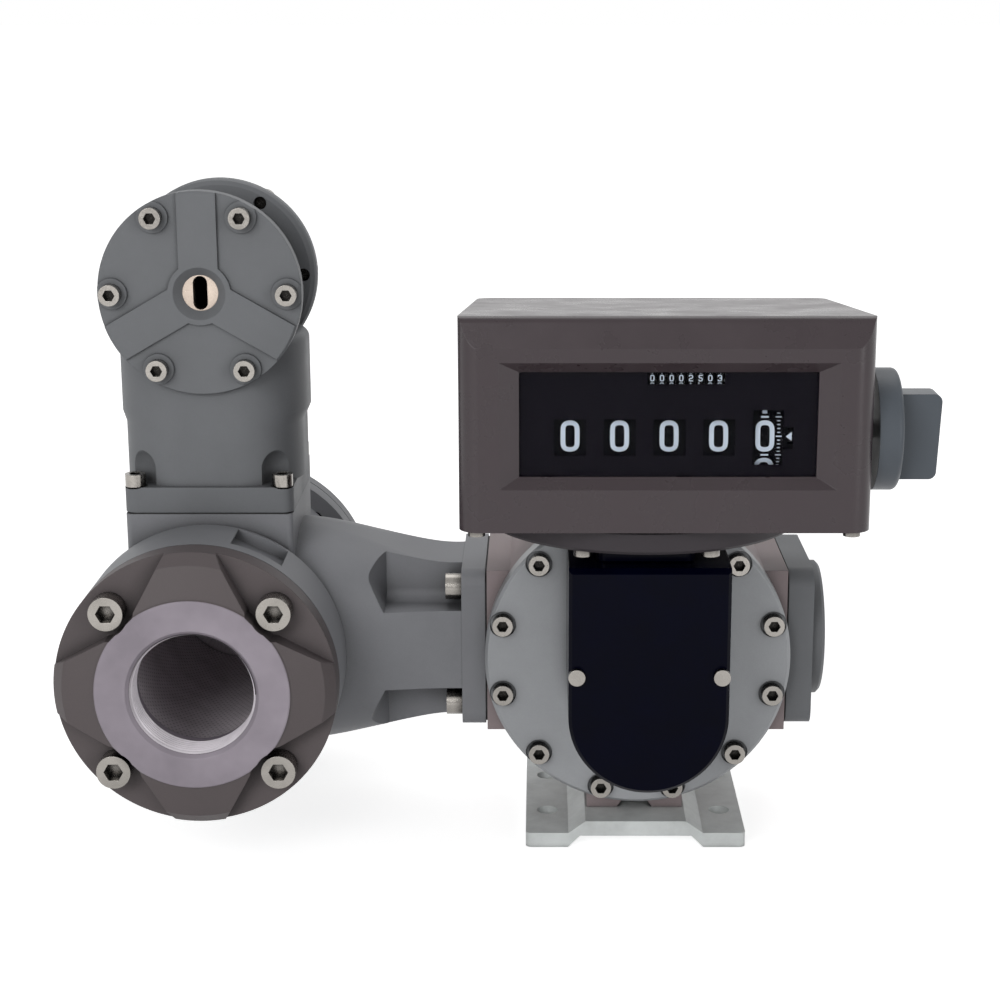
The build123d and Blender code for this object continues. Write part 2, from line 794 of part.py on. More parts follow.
with BuildPart() as strainer_body:
    add(
        turned(
            barrel_plane,
            [
                (0, barrel_front),
                (strainer_flange_radius, barrel_front),
                (strainer_flange_radius, barrel_front + strainer_band_length),
                (strainer_barrel_radius, barrel_front + strainer_band_length + 6),
                (strainer_barrel_radius, barrel_back - strainer_flange_thickness - 6),
                (strainer_flange_radius, barrel_back - strainer_flange_thickness),
                (strainer_flange_radius, barrel_back),
                (0, barrel_back),
            ],
        )
    )
    with BuildSketch(Plane.XY.offset(port_height)):
        with Locations((strainer_x, 0)):
            Rectangle(pad_side, pad_side)
    extrude(amount=pad_top - port_height)
    fillet(
        strainer_body.edges().filter_by(Axis.Z).filter_by_position(Axis.Z, port_height, pad_top),
        3,
    )
    with BuildSketch(right_plane(neck_start)):
        with Locations((0, port_height)):
            RectangleRounded(79, 79, 14)
    with BuildSketch(right_plane(neck_start - 30)):
        with Locations((0, port_height)):
            RectangleRounded(84, 87, 26)
    with BuildSketch(right_plane(neck_start - 58)):
        with Locations((0, port_height)):
            RectangleRounded(94, 104, 40)
    with BuildSketch(right_plane(neck_start - 92)):
        with Locations((0, port_height)):
            RectangleRounded(98, 112, 44)
    loft()
    for side_y, side_z in ((-1, -1), (-1, 1), (1, -1), (1, 1)):
        wide, narrow, outer = 50, 14, neck_notch + 50
        wide_centre = (side_y * (outer - wide / 2), port_height + side_z * (outer - wide / 2))
        narrow_centre = (side_y * (outer - narrow / 2), port_height + side_z * (outer - narrow / 2))
        with BuildSketch(right_plane(neck_start)):
            with Locations(wide_centre):
                RectangleRounded(wide, wide, 6)
        extrude(amount=-neck_notch_length, mode=Mode.SUBTRACT)
        with BuildSketch(right_plane(neck_start - neck_notch_length)):
            with Locations(wide_centre):
                RectangleRounded(wide, wide, 6)
        with BuildSketch(right_plane(neck_start - neck_notch_length - neck_notch_runout)):
            with Locations(narrow_centre):
                RectangleRounded(narrow, narrow, 3)
        loft(mode=Mode.SUBTRACT)
    with BuildSketch(right_plane(neck_start)):
        with Locations((0, port_height)):
            RectangleRounded(port_flange_side, port_flange_side, 7)
    extrude(amount=neck_flange_thickness)
    with BuildSketch(front_plane(barrel_front)):
        with Locations((strainer_x, port_height)):
            Circle(strainer_bore_radius)
    extrude(amount=barrel_front - barrel_back, mode=Mode.SUBTRACT)
    with BuildSketch(left_plane(neck_face)):
        with Locations((0, port_height)):
            Circle(port_radius)
    extrude(amount=neck_face - strainer_x, mode=Mode.SUBTRACT)
    with BuildSketch(Plane.XY.offset(pad_top)):
        with Locations((strainer_x, 0)):
            Circle(20)
    extrude(amount=port_height - pad_top, mode=Mode.SUBTRACT)
    with Locations(*places_on(left_plane(neck_start), port_bolt_points)):
        Hole(M8[2] + hole_gap, depth=neck_flange_thickness)
    with Locations(*[(x, y, pad_top) for x, y in column_bolt_points]):
        Hole(M6[2] + hole_gap, depth=18)
    with Locations(*places_on(front_plane(barrel_front), strainer_bolt_points)):
        Hole(M10[2] + hole_gap, depth=18)
    with Locations(*places_on(rear_plane(barrel_back), mirrored_bolt_points)):
        Hole(M10[2] + hole_gap, depth=18)
    with Locations(band_notch_place):
        Box(26, 26, 9, mode=Mode.SUBTRACT)

ring_step = 4.5
rim_step = 10.0
pocket_floor = inlet_face + 12.0
pocket_outline = [(44.5, -8), (46, -10), (57.5, -48), (80, -48), (80, 48), (57.5, 48), (46, 10), (44.5, 8)]
with BuildPart() as inlet_flange:
    add(
        turned(
            barrel_plane,
            [
                (0, inlet_face),
                (inlet_ring_radius, inlet_face),
                (inlet_ring_radius + 1, inlet_face + 1),
                (strainer_flange_radius - 5, inlet_face + ring_step),
                (strainer_flange_radius, inlet_face + rim_step),
                (strainer_flange_radius, inlet_back),
                (0, inlet_back),
            ],
        )
    )
    for angle in (45, 135, 225, 315):
        pocket_plane = Plane(
            (strainer_x, pocket_floor, port_height),
            x_dir=(cos(radians(angle)), 0, sin(radians(angle))),
            z_dir=(0, -1, 0),
        )
        with BuildSketch(pocket_plane):
            with Locations((strainer_bolt_spacing / 2 * 2**0.5, 0)):
                Circle(10.5)
            with BuildLine():
                Polyline(*pocket_outline, close=True)
            make_face()
        extrude(amount=pocket_floor - inlet_face + 1, mode=Mode.SUBTRACT)
    with Locations(*places_on(front_plane(pocket_floor), strainer_bolt_points)):
        Hole(M10[2] + hole_gap, depth=inlet_back - pocket_floor)
    with Locations(*places_on(front_plane(inlet_face), [(strainer_x, port_height)])):
        CounterSinkHole(radius=thread_radius, counter_sink_radius=mouth_radius, counter_sink_angle=90)

cover_face_y = cover_back + 14
with BuildPart() as strainer_cover:
    add(
        turned(
            barrel_plane,
            [
                (0, cover_back - 5),
                (strainer_bore_radius - hole_gap, cover_back - 5),
                (strainer_bore_radius - hole_gap, cover_back),
                (strainer_flange_radius, cover_back),
                (strainer_flange_radius, cover_face_y - 4),
                (strainer_flange_radius - 5, cover_face_y),
                (24, cover_face_y),
                (20, cover_face_y + 6),
                (0, cover_face_y + 6),
            ],
        )
    )
    with Locations(*places_on(rear_plane(cover_face_y), mirrored_bolt_points)):
        CounterBoreHole(radius=M10[2] + hole_gap, counter_bore_radius=9.5, counter_bore_depth=3)

strainer_screws = group_of(
    cap_screw(M10, inlet_back - pocket_floor + 15, 4.6),
    places_on(front_plane(pocket_floor), strainer_bolt_points)
    + places_on(rear_plane(cover_face_y - 3), mirrored_bolt_points),
)
with BuildPart() as port_screws:
    with Locations(*places_on(left_plane(neck_start), port_bolt_points)):
        add(cap_screw(M8, neck_flange_thickness + 16, 3.5))
    outlet_seat = outlet_inner + outlet_plate - outlet_screw_pocket
    with Locations(*places_on(right_plane(outlet_seat), port_bolt_points)):
        add(cap_screw(M8, outlet_plate - outlet_screw_pocket + 16, 3.5))

with BuildPart() as strainer_basket:
    add(
        turned(
            barrel_plane,
            [
                (basket_radius - basket_wall, inlet_back + 0.2),
                (strainer_bore_radius - hole_gap, inlet_back + 0.2),
                (strainer_bore_radius - hole_gap, inlet_back + 3),
                (basket_radius, inlet_back + 3),
                (basket_radius, 62),
                (0, 62),
                (0, 60.5),
                (basket_radius - basket_wall, 60.5),
            ],
        )
    )

# Air eliminator: a drum on a square-based column
column_bottom = pad_top + gasket_thickness
column_seat = column_bottom + column_flange_thickness
vent_body_front = vent_front + vent_cover_thickness
vent_body_back = 34.0
cavity_top = vent_body_top - 7
vent_plane = Plane((strainer_x, 0, vent_height), x_dir=(1, 0, 0), z_dir=(0, 0, 1))
vent_screw_points = ring_points(vent_screw_circle, 6, 0, (strainer_x, vent_height))
vent_rear_points = ring_points(vent_screw_circle, 6, 0, (-strainer_x, vent_height))
shoulder_z = 214.0
scoop_radius = 10.0
vent_rear_cover_radius = 46.0
seat_gap = 0.5
scoop_height = 8.0
with BuildPart() as vent_column:
    with BuildSketch(Plane.XY.offset(column_bottom)):
        with Locations((strainer_x, 0)):
            RectangleRounded(82, pad_side, 6)
    extrude(amount=column_flange_thickness)
    with BuildSketch(Plane.XY.offset(column_seat)):
        with Locations((strainer_x, 0)):
            RectangleRounded(2 * column_half_x, 76, column_corner_radius)
    extrude(amount=shoulder_z - 5 - column_seat)
    with BuildSketch(Plane.XY.offset(shoulder_z - 5)):
        with Locations((strainer_x, 0)):
            RectangleRounded(2 * column_half_x, 76, column_corner_radius)
    with BuildSketch(Plane.XY.offset(shoulder_z)):
        with Locations((strainer_x, 0)):
            RectangleRounded(2 * vent_body_half, 76, column_corner_radius + 3)
    loft()
    with BuildSketch(Plane.XY.offset(shoulder_z)):
        with Locations((strainer_x, 0)):
            RectangleRounded(2 * vent_body_half, 76, column_corner_radius + 3)
    extrude(amount=vent_body_top - shoulder_z)
    fillet(vent_column.edges().group_by(Axis.Z)[-1], 5)
    add(
        turned(
            vent_plane,
            [
                (0, vent_body_front),
                (vent_front_flange_radius, vent_body_front),
                (vent_front_flange_radius, vent_body_front + vent_front_flange),
                (vent_drum_radius, vent_body_front + vent_front_flange),
                (vent_drum_radius, vent_body_back - vent_rear_flange),
                (vent_rear_flange_radius - 3, vent_body_back - vent_rear_flange),
                (vent_rear_flange_radius - 0.9, vent_body_back - vent_rear_flange + 0.9),
                (vent_rear_flange_radius, vent_body_back - vent_rear_flange + 3),
                (vent_rear_flange_radius, vent_body_back),
                (0, vent_body_back),
            ],
        )
    )
    with BuildSketch(front_plane(vent_body_front)):
        with Locations((strainer_x, vent_height)):
            Circle(vent_bore_radius)
    extrude(amount=vent_body_front - vent_body_back, mode=Mode.SUBTRACT)
    with BuildSketch(front_plane(vent_body_front)):
        with Locations((strainer_x, vent_height)):
            Circle(vent_cover_radius + seat_gap)
    extrude(amount=10, mode=Mode.SUBTRACT)
    with BuildSketch(rear_plane(vent_body_back)):
        with Locations((-strainer_x, vent_height)):
            Circle(vent_rear_cover_radius + seat_gap)
    extrude(amount=10, mode=Mode.SUBTRACT)
    with BuildSketch(Plane.XY.offset(column_bottom)):
        with Locations((strainer_x, 0)):
            RectangleRounded(66, 62, 24)
    extrude(amount=cavity_top - column_bottom, mode=Mode.SUBTRACT)
    for x, y in column_bolt_points:
        with Locations((x, y, column_seat)):
            Cylinder(scoop_radius, scoop_height, align=BASE, mode=Mode.SUBTRACT)
            Hole(M6[2] + hole_gap, depth=column_flange_thickness)
        with Locations((x, y, column_seat + scoop_height)):
            Sphere(scoop_radius, mode=Mode.SUBTRACT)
    with Locations(*places_on(front_plane(vent_body_front), vent_screw_points)):
        Hole(M6[2] + hole_gap, depth=vent_front_flange)
    with Locations(*places_on(rear_plane(vent_body_back), vent_rear_points)):
        Hole(M6[2] + hole_gap, depth=vent_rear_flange)
column_screws = group_of(
    cap_screw(M6, column_flange_thickness + 14, 2.9),
    [Location((x, y, column_seat)) for x, y in column_bolt_points],
)

pad_depth = 1.6
pivot_y = -26.0
pivot_z = 262.0
float_y = 0.0
float_z = 222.0
pin_radius = 2.0
lever_width = 6.0
lever_eye_radius = 4.5
ear_width = 3.0
ear_inner = lever_width / 2 + running_gap
ear_outer = ear_inner + ear_width
with BuildPart() as vent_front_cover:
    with BuildSketch(front_plane(vent_body_front)):
        with Locations((strainer_x, vent_height)):
            Circle(vent_cover_radius)
    extrude(amount=vent_cover_thickness)
    chamfer(vent_front_cover.edges().group_by(Axis.Y)[0], 1.0)
    with BuildSketch(front_plane(vent_front)):
        with Locations((strainer_x, vent_height)):
            Circle(vent_cover_radius + 1)
            with PolarLocations(0, 3, 90):
                Rectangle(vent_cover_radius + 2, 18.5, align=(Align.MIN, Align.CENTER), mode=Mode.SUBTRACT)
            Circle(15, mode=Mode.SUBTRACT)
        with Locations(*vent_screw_points):
            Circle(7.4, mode=Mode.SUBTRACT)
    extrude(amount=-pad_depth, mode=Mode.SUBTRACT)
    with Locations(*places_on(front_plane(vent_front), vent_screw_points)):
        Hole(M6[2] + hole_gap, depth=vent_cover_thickness)
    with BuildSketch(front_plane(vent_front)):
        with Locations((strainer_x, vent_height)):
            Circle(vent_insert_radius)
    extrude(amount=-vent_cover_thickness, mode=Mode.SUBTRACT)
    with Locations(*places_on(front_plane(vent_front), [(strainer_x, vent_height)])):
        CounterSinkHole(radius=vent_insert_radius, counter_sink_radius=12.5, counter_sink_angle=90)
    for start in (strainer_x - ear_outer, strainer_x + ear_inner):
        with BuildSketch(right_plane(start)):
            with Locations((pivot_y, pivot_z)):
                Circle(lever_eye_radius)
                Rectangle(
                    pivot_y - vent_body_front,
                    2 * lever_eye_radius,
                    align=(Align.MAX, Align.CENTER),
                )
                Circle(pin_radius + fit_gap, mode=Mode.SUBTRACT)
        extrude(amount=ear_width)

with BuildPart() as vent_insert:
    with BuildSketch(front_plane(vent_body_front)):
        with Locations((strainer_x, vent_height)):
            Circle(vent_insert_radius)
            SlotOverall(16, 6.8, rotation=90, mode=Mode.SUBTRACT)
    extrude(amount=5.0)

vent_cover_back = vent_body_back + vent_cover_thickness
with BuildPart() as vent_rear_cover:
    with BuildSketch(rear_plane(vent_body_back)):
        with Locations((-strainer_x, vent_height)):
            Circle(vent_rear_cover_radius)
    extrude(amount=vent_cover_thickness)
    chamfer(vent_rear_cover.edges().group_by(Axis.Y)[-1], 1.5)
    with Locations(*places_on(rear_plane(vent_cover_back), vent_rear_points)):
        Hole(M6[2] + hole_gap, depth=vent_cover_thickness)
vent_cover_screws = group_of(
    cap_screw(M6, vent_cover_thickness + 5, 2.9),
    places_on(front_plane(vent_front), vent_screw_points)
    + places_on(rear_plane(vent_cover_back), vent_rear_points),
)

# Float and lever
with BuildPart() as lever_pin:
    add(rod(right_plane(strainer_x - ear_outer), (pivot_y, pivot_z), pin_radius, 2 * ear_outer))
with BuildPart() as float_lever:
    with BuildSketch(right_plane(strainer_x - lever_width / 2)):
        with Locations((pivot_y, pivot_z)):
            Circle(lever_eye_radius)
        with BuildLine():
            Polyline(
                (pivot_y - 1, pivot_z - 3),
                (pivot_y + 2, pivot_z + 4),
                (float_y + 3, pivot_z + 4),
                (float_y + 3, float_z + float_radius - 0.6),
                (float_y - 3, float_z + float_radius - 0.6),
                (float_y - 3, pivot_z - 3),
                close=True,
            )
        make_face()
        with Locations((pivot_y, pivot_z)):
            Circle(pin_radius + fit_gap, mode=Mode.SUBTRACT)
    extrude(amount=lever_width)
    with Locations((strainer_x, float_y, float_z)):
        Sphere(float_radius + 0.05, mode=Mode.SUBTRACT)
with BuildPart() as float_ball:
    with Locations((strainer_x, float_y, float_z)):
        Sphere(float_radius)

# Gaskets between the bolted joints
with BuildPart() as flange_gaskets:
    with BuildSketch(front_plane(inlet_back + gasket_thickness)):
        with Locations((strainer_x, port_height)):
            Circle(strainer_flange_radius - 2)
            Circle(strainer_bore_radius + 1, mode=Mode.SUBTRACT)
        with Locations(*strainer_bolt_points):
            Circle(M10[2] + hole_gap, mode=Mode.SUBTRACT)
    extrude(amount=gasket_thickness)
    with BuildSketch(rear_plane(barrel_back)):
        with Locations((-strainer_x, port_height)):
            Circle(strainer_flange_radius - 2)
            Circle(strainer_bore_radius + 1, mode=Mode.SUBTRACT)
        with Locations(*mirrored_bolt_points):
            Circle(M10[2] + hole_gap, mode=Mode.SUBTRACT)
    extrude(amount=gasket_thickness)
    for plane in (left_plane(-port_face), right_plane(port_face)):
        with BuildSketch(plane):
            with Locations((0, port_height)):
                RectangleRounded(port_flange_side - 2, port_flange_side - 2, 7)
                Circle(thread_radius + 1, mode=Mode.SUBTRACT)
            with Locations(*port_bolt_points):
                Circle(M8[2] + hole_gap, mode=Mode.SUBTRACT)
        extrude(amount=gasket_thickness)
    with BuildSketch(Plane.XY.offset(pad_top)):
        with Locations((strainer_x, 0)):
            RectangleRounded(pad_side - 1, pad_side - 1, 5)
            RectangleRounded(56, 56, 20, mode=Mode.SUBTRACT)
        with Locations(*column_bolt_points):
            Circle(M6[2] + hole_gap, mode=Mode.SUBTRACT)
    extrude(amount=gasket_thickness)

# Adapter disc that carries the register
disc_top = disc_bottom + disc_thickness
adapter_screw_points = [(i * 28.4, y) for i in (-1, 1) for y in (register_shaft_y - 60, register_shaft_y + 52)]
with BuildPart() as adapter_disc:
    with BuildSketch(Plane.XY.offset(disc_bottom)):
        with Locations((0, register_shaft_y)):
            Circle(disc_radius)
            Circle(7, mode=Mode.SUBTRACT)
        with Locations(*adapter_screw_points):
            Circle(M5[2] + hole_gap, mode=Mode.SUBTRACT)
    extrude(amount=disc_thickness)
    chamfer(adapter_disc.edges().filter_by(GeomType.CIRCLE).sort_by(SortBy.RADIUS)[-2:], 1.5)
adapter_screws = group_of(
    cap_screw(M5, disc_thickness + 4),
    [Location((x, y, disc_bottom), (180, 0, 0)) for x, y in adapter_screw_points],
)

# Register housing: the side outline and the plan outline crossed, then hollowed from below
housing_bottom = disc_top


def housing_block(inset, floor):
    """The housing's outer form, drawn in on every side but the bottom."""
    front, back = register_front + inset, register_back - inset
    half_front, half_back = register_width / 2 - inset, register_back_width / 2 - inset
    with BuildPart() as block:
        with BuildSketch(right_plane(register_x - register_width / 2)):
            with BuildLine():
                Polyline(
                    (front, floor),
                    (front, front_face_top - inset / 2),
                    (front + 5, housing_top_front - inset),
                    (back, housing_top_back - inset),
                    (back, floor),
                    close=True,
                )
            make_face()
        extrude(amount=register_width)
        with BuildSketch(Plane.XY.offset(floor)):
            with BuildLine():
                Polyline(
                    (register_x - half_front, front),
                    (register_x + half_front, front),
                    (register_x + half_back, back),
                    (register_x - half_back, back),
                    close=True,
                )
            make_face()
        extrude(amount=120, mode=Mode.INTERSECT)
        fillet(block.edges().filter_by(Axis.Z), 9 - inset)
    return block.part


bezel_outer = (dial_width + 2 * bezel_border, dial_height + bezel_border + 1)
window_front = register_front + bezel_depth + 1
window_thickness = 1.2
floor_thickness = 2.0
top_edge_radius = 4.0
housing_right = register_x + register_width / 2
front_boss_points = [(register_x + i * 82.5, register_front + 8) for i in (-1, 1)]
rear_boss_points = [(register_x + i * 77.5, register_back - 8) for i in (-1, 1)]
boss_points = front_boss_points + rear_boss_points
with BuildPart() as register_housing:
    add(housing_block(0, housing_bottom))
    fillet(register_housing.edges().group_by(Axis.Z)[-1], top_edge_radius)
    add(housing_block(register_wall, housing_bottom), mode=Mode.SUBTRACT)
    with BuildSketch(front_plane(register_front + register_wall)):
        with Locations((dial_x, dial_z)):
            Rectangle(bezel_outer[0] + 4, bezel_outer[1] + 4)
    extrude(amount=register_front + register_wall - window_front)
    with BuildSketch(front_plane(register_front)):
        with Locations((dial_x, dial_z)):
            Rectangle(*bezel_outer)
    with BuildSketch(front_plane(register_front + bezel_depth)):
        with Locations((dial_x, dial_z)):
            Rectangle(dial_width, dial_height)
    loft(ruled=True, mode=Mode.SUBTRACT)
    with BuildSketch(front_plane(register_front)):
        with Locations((dial_x, dial_z)):
            Rectangle(dial_width, dial_height)
    extrude(amount=register_front - window_front, mode=Mode.SUBTRACT)
    with BuildSketch(Plane.XY.offset(housing_bottom + floor_thickness)):
        with Locations(*boss_points):
            Circle(5.5)
    extrude(amount=12)
    with Locations(*[(x, y, housing_bottom + floor_thickness + 12) for x, y in boss_points]):
        Hole(M4[2] + 0.1, depth=12)
    with BuildSketch(right_plane(housing_right - 12)):
        with Locations((wheel_y, wheel_z)):
            Circle(7)
    extrude(amount=16, mode=Mode.SUBTRACT)

# Window glass and dial plate
dial_front = window_front + window_thickness + running_gap
dial_thickness = 1.0
dial_back = dial_front + dial_thickness
wheel_places = [units_wheel_x - wheel_pitch * k for k in range(wheel_count)]
totalizer_pitch = 4.18
totalizer_count = 8
totalizer_radius = 5.5
totalizer_width = 3.6
totalizer_x = 15.6
totalizer_z = 251.4
totalizer_y = dial_back + 0.6 + totalizer_radius
with BuildPart() as register_window:
    with BuildSketch(front_plane(window_front + window_thickness)):
        with Locations((dial_x, dial_z)):
            Rectangle(dial_width + 2, dial_height + 2)
    extrude(amount=window_thickness)

with BuildPart() as dial_plate:
    with BuildSketch(front_plane(dial_back)):
        with Locations((dial_x, dial_z)):
            Rectangle(dial_width + 6, dial_height + 6)
        with Locations(*[(x, window_z) for x in wheel_places[1:]]):
            Rectangle(13.9, 16.4, mode=Mode.SUBTRACT)
        with Locations((units_wheel_x - 0.4, window_z)):
            Rectangle(13.2, 24.4, mode=Mode.SUBTRACT)
        with Locations((units_wheel_x + 8.4, window_z)):
            Rectangle(4.4, 9.8, mode=Mode.SUBTRACT)
        with Locations((totalizer_x, totalizer_z)):
            Rectangle(totalizer_count * totalizer_pitch, 5, mode=Mode.SUBTRACT)
    extrude(amount=dial_thickness)

# Number wheels on the reset shaft, counted from the right
reset_shaft_radius = 4.0
pinion_spindle_radius = 2.0
totalizer_spindle_radius = 1.5
transfer_module = 2.4
transfer_ring_teeth = 20
transfer_pinion_teeth = 8
transfer_distance = transfer_module * (transfer_ring_teeth + transfer_pinion_teeth) / 2
transfer_angle = -47.0
pinion_y = wheel_y + transfer_distance * cos(radians(transfer_angle))
pinion_z = wheel_z + transfer_distance * sin(radians(transfer_angle))
carry_radius = 21.2
carry_tab_radius = 23.2
carry_tab_angle = 95.0


def number_wheel(order):
    """Wheel 1 has the drive gear; the others have a transfer ring on the right."""
    middle = wheel_places[order - 1]
    right = middle + wheel_width / 2
    left = middle - wheel_width / 2
    centre = (wheel_y, wheel_z)
    with BuildPart() as wheel:
        add(rod(right_plane(left), centre, wheel_radius, wheel_width, wheel_radius - 2.5))
        add(rod(right_plane(middle - 1), centre, wheel_radius - 2, 2, 7))
        add(rod(right_plane(left), centre, 7.5, wheel_width, reset_shaft_radius + fit_gap))
        if order == 1:
            drive = spur_gear(
                right_plane(right),
                centre,
                wheel_gear_teeth,
                gear_module,
                5,
                20,
                phase=180 / wheel_gear_teeth,
            )
            add(drive)
        else:
            ring = spur_gear(
                right_plane(right),
                centre,
                transfer_ring_teeth,
                transfer_module,
                3,
                16,
                phase=transfer_angle + 180 / transfer_ring_teeth,
            )
            add(ring)
            add(rod(right_plane(right - 2), centre, wheel_radius - 2, 2, 16))
        if order < wheel_count:
            add(rod(right_plane(left - 1), centre, carry_radius, 1, 16))
            add(rod(right_plane(left), centre, wheel_radius - 2, 2, 16))
            with BuildSketch(moved_to(right_plane(left - 1), *centre)):
                with PolarLocations(carry_tab_radius, 2, transfer_angle + carry_tab_angle, 18):
                    Rectangle(5, 2)
            extrude(amount=1)
    return wheel


number_wheel_1 = number_wheel(1)
number_wheel_2 = number_wheel(2)
number_wheel_3 = number_wheel(3)
number_wheel_4 = number_wheel(4)
number_wheel_5 = number_wheel(5)


def transfer_pinion(order):
    """The pinion between a number wheel and the next one to its left."""
    start = wheel_places[order] + wheel_width / 2 + 0.2
    return spur_gear(
        right_plane(start),
        (pinion_y, pinion_z),
        transfer_pinion_teeth,
        transfer_module,
        wheel_pitch - wheel_width - 0.4,
        pinion_spindle_radius + fit_gap,
        phase=transfer_angle + 180,
    )


with BuildPart() as transfer_pinion_1:
    add(transfer_pinion(1))
with BuildPart() as transfer_pinions:
    for order in range(2, wheel_count):
        add(transfer_pinion(order))


def totalizer_wheel(middle):
    centre = (totalizer_y, totalizer_z)
    start = right_plane(middle - totalizer_width / 2)
    return rod(start, centre, totalizer_radius, totalizer_width, totalizer_spindle_radius + fit_gap)


with BuildPart() as totalizer_wheels:
    for k in range(totalizer_count - 1):
        x = totalizer_x + totalizer_pitch * (k - (totalizer_count - 1) / 2)
        add(totalizer_wheel(x))
first_totalizer_x = totalizer_x + totalizer_pitch * (totalizer_count - 1) / 2
with BuildPart() as totalizer_first_wheel:
    add(totalizer_wheel(first_totalizer_x))

# Register frame: a floor with two side plates and a bearing post
side_left = wheel_places[-1] - wheel_width / 2 - 7
side_right = units_wheel_x + wheel_width / 2 + 10
side_thickness = 2.5
frame_sides = (side_left, side_right)
frame_holes = [
    ((wheel_y, wheel_z), reset_shaft_radius),
    ((register_shaft_y, counter_z), spindle_radius),
    ((pinion_y, pinion_z), pinion_spindle_radius),
    ((totalizer_y, totalizer_z), totalizer_spindle_radius),
]
floor_top = housing_bottom + floor_thickness
with BuildPart() as register_frame:
    with BuildSketch(Plane.XY.offset(housing_bottom)):
        with BuildLine():
            Polyline(
                (register_x - register_width / 2 + 4, register_front + 4),
                (register_x + register_width / 2 - 4, register_front + 4),
                (register_x + register_back_width / 2 - 4, register_back - 4),
                (register_x - register_back_width / 2 + 4, register_back - 4),
                close=True,
            )
        make_face()
    extrude(amount=floor_thickness)
    fillet(register_frame.edges().filter_by(Axis.Z), 7)
    for x in frame_sides:
        with BuildSketch(right_plane(x)):
            with BuildLine():
                Polyline(
                    (dial_back, housing_bottom),
                    (dial_back, 256),
                    (-116, 258),
                    (-52, 236),
                    (-52, housing_bottom),
                    close=True,
                )
            make_face()
            for centre, radius in frame_holes:
                with Locations(centre):
                    Circle(radius + fit_gap, mode=Mode.SUBTRACT)
        extrude(amount=side_thickness)
    with BuildSketch(right_plane(11)):
        with Locations((register_shaft_y, (floor_top + counter_z + 6) / 2)):
            Rectangle(12, counter_z + 6 - floor_top)
        with Locations((register_shaft_y, counter_z)):
            Circle(spindle_radius + fit_gap, mode=Mode.SUBTRACT)
    extrude(amount=3)
    with Locations((0, register_shaft_y, floor_top)):
        Cylinder(6, 6, align=BASE)
        Hole(spindle_radius + fit_gap, depth=12)
    with Locations((0, register_shaft_y, floor_top + 6)):
        Hole(spindle_radius + fit_gap, depth=6 + floor_thickness)
    with Locations(*[(x, y, floor_top) for x, y in adapter_screw_points]):
        Hole(M5[2] + 0.1, depth=floor_thickness)
    with Locations(*[(x, y, floor_top) for x, y in boss_points]):
        Hole(M4[2] + hole_gap, depth=floor_thickness)

# The small screws of the gear cover and of the housing
with BuildPart() as small_screws:
    with Locations(*places_on(front_plane(gear_cover_front), cover_screw_points)):
        add(cap_screw(M4, 40))
    with Locations(*[Location((x, y, housing_bottom), (180, 0, 0)) for x, y in boss_points]):
        add(cap_screw(M4, floor_thickness + 8))
with BuildPart() as counter_spindles:
    span = side_right + side_thickness - side_left
    add(rod(right_plane(side_left), (pinion_y, pinion_z), pinion_spindle_radius, span))
    add(rod(right_plane(side_left), (totalizer_y, totalizer_z), totalizer_spindle_radius, span))

# Countershaft that drives the first number wheel
counter_apex = Plane((0, register_shaft_y, counter_z), x_dir=(0, 1, 0), z_dir=(1, 0, 0))
counter_pinion_x = units_wheel_x + wheel_width / 2
with BuildPart() as counter_gears:
    add(bevel_gear(counter_apex, bevel_teeth, bevel_module, spindle_radius + fit_gap, phase=0))
    add(
        spur_gear(
            right_plane(counter_pinion_x),
            (register_shaft_y, counter_z),
            counter_pinion_teeth,
            gear_module,
            5,
            spindle_radius + fit_gap,
            phase=180,
        )
    )
with BuildPart() as counter_shaft:
    shaft_start = 0.6 * bevel_back
    add(
        rod(
            right_plane(shaft_start),
            (register_shaft_y, counter_z),
            spindle_radius,
            side_right + side_thickness - shaft_start,
        )
    )

# Reset shaft and knob
knob_start = housing_right + knob_gap
knob_plane = moved_to(right_plane(knob_start), wheel_y, wheel_z)
skirt_end = knob_start + knob_skirt_width
handle_outline = [
    (skirt_end - 1, wheel_z + handle_bottom),
    (knob_end - handle_slant, wheel_z + handle_bottom),
    (knob_end, wheel_z + handle_top),
    (skirt_end - 1, wheel_z + handle_top),
]
with BuildPart() as reset_shaft:
    add(rod(right_plane(side_left), (wheel_y, wheel_z), reset_shaft_radius, knob_start + 20 - side_left))
with BuildPart() as reset_knob:
    with BuildSketch(knob_plane):
        Circle(knob_skirt_radius)
    extrude(amount=knob_skirt_width)
    fillet(reset_knob.edges().group_by(Axis.X)[-1], 2.5)
    with BuildSketch(front_plane(wheel_y - handle_width / 2)) as handle_side:
        with BuildLine():
            Polyline(*handle_outline, close=True)
        make_face()
        fillet(handle_side.vertices().group_by(Axis.X)[-2:], 3.5)
    extrude(amount=-handle_width)
    with BuildSketch(knob_plane):
        Circle(reset_shaft_radius + fit_gap)
    extrude(amount=20.3, mode=Mode.SUBTRACT)

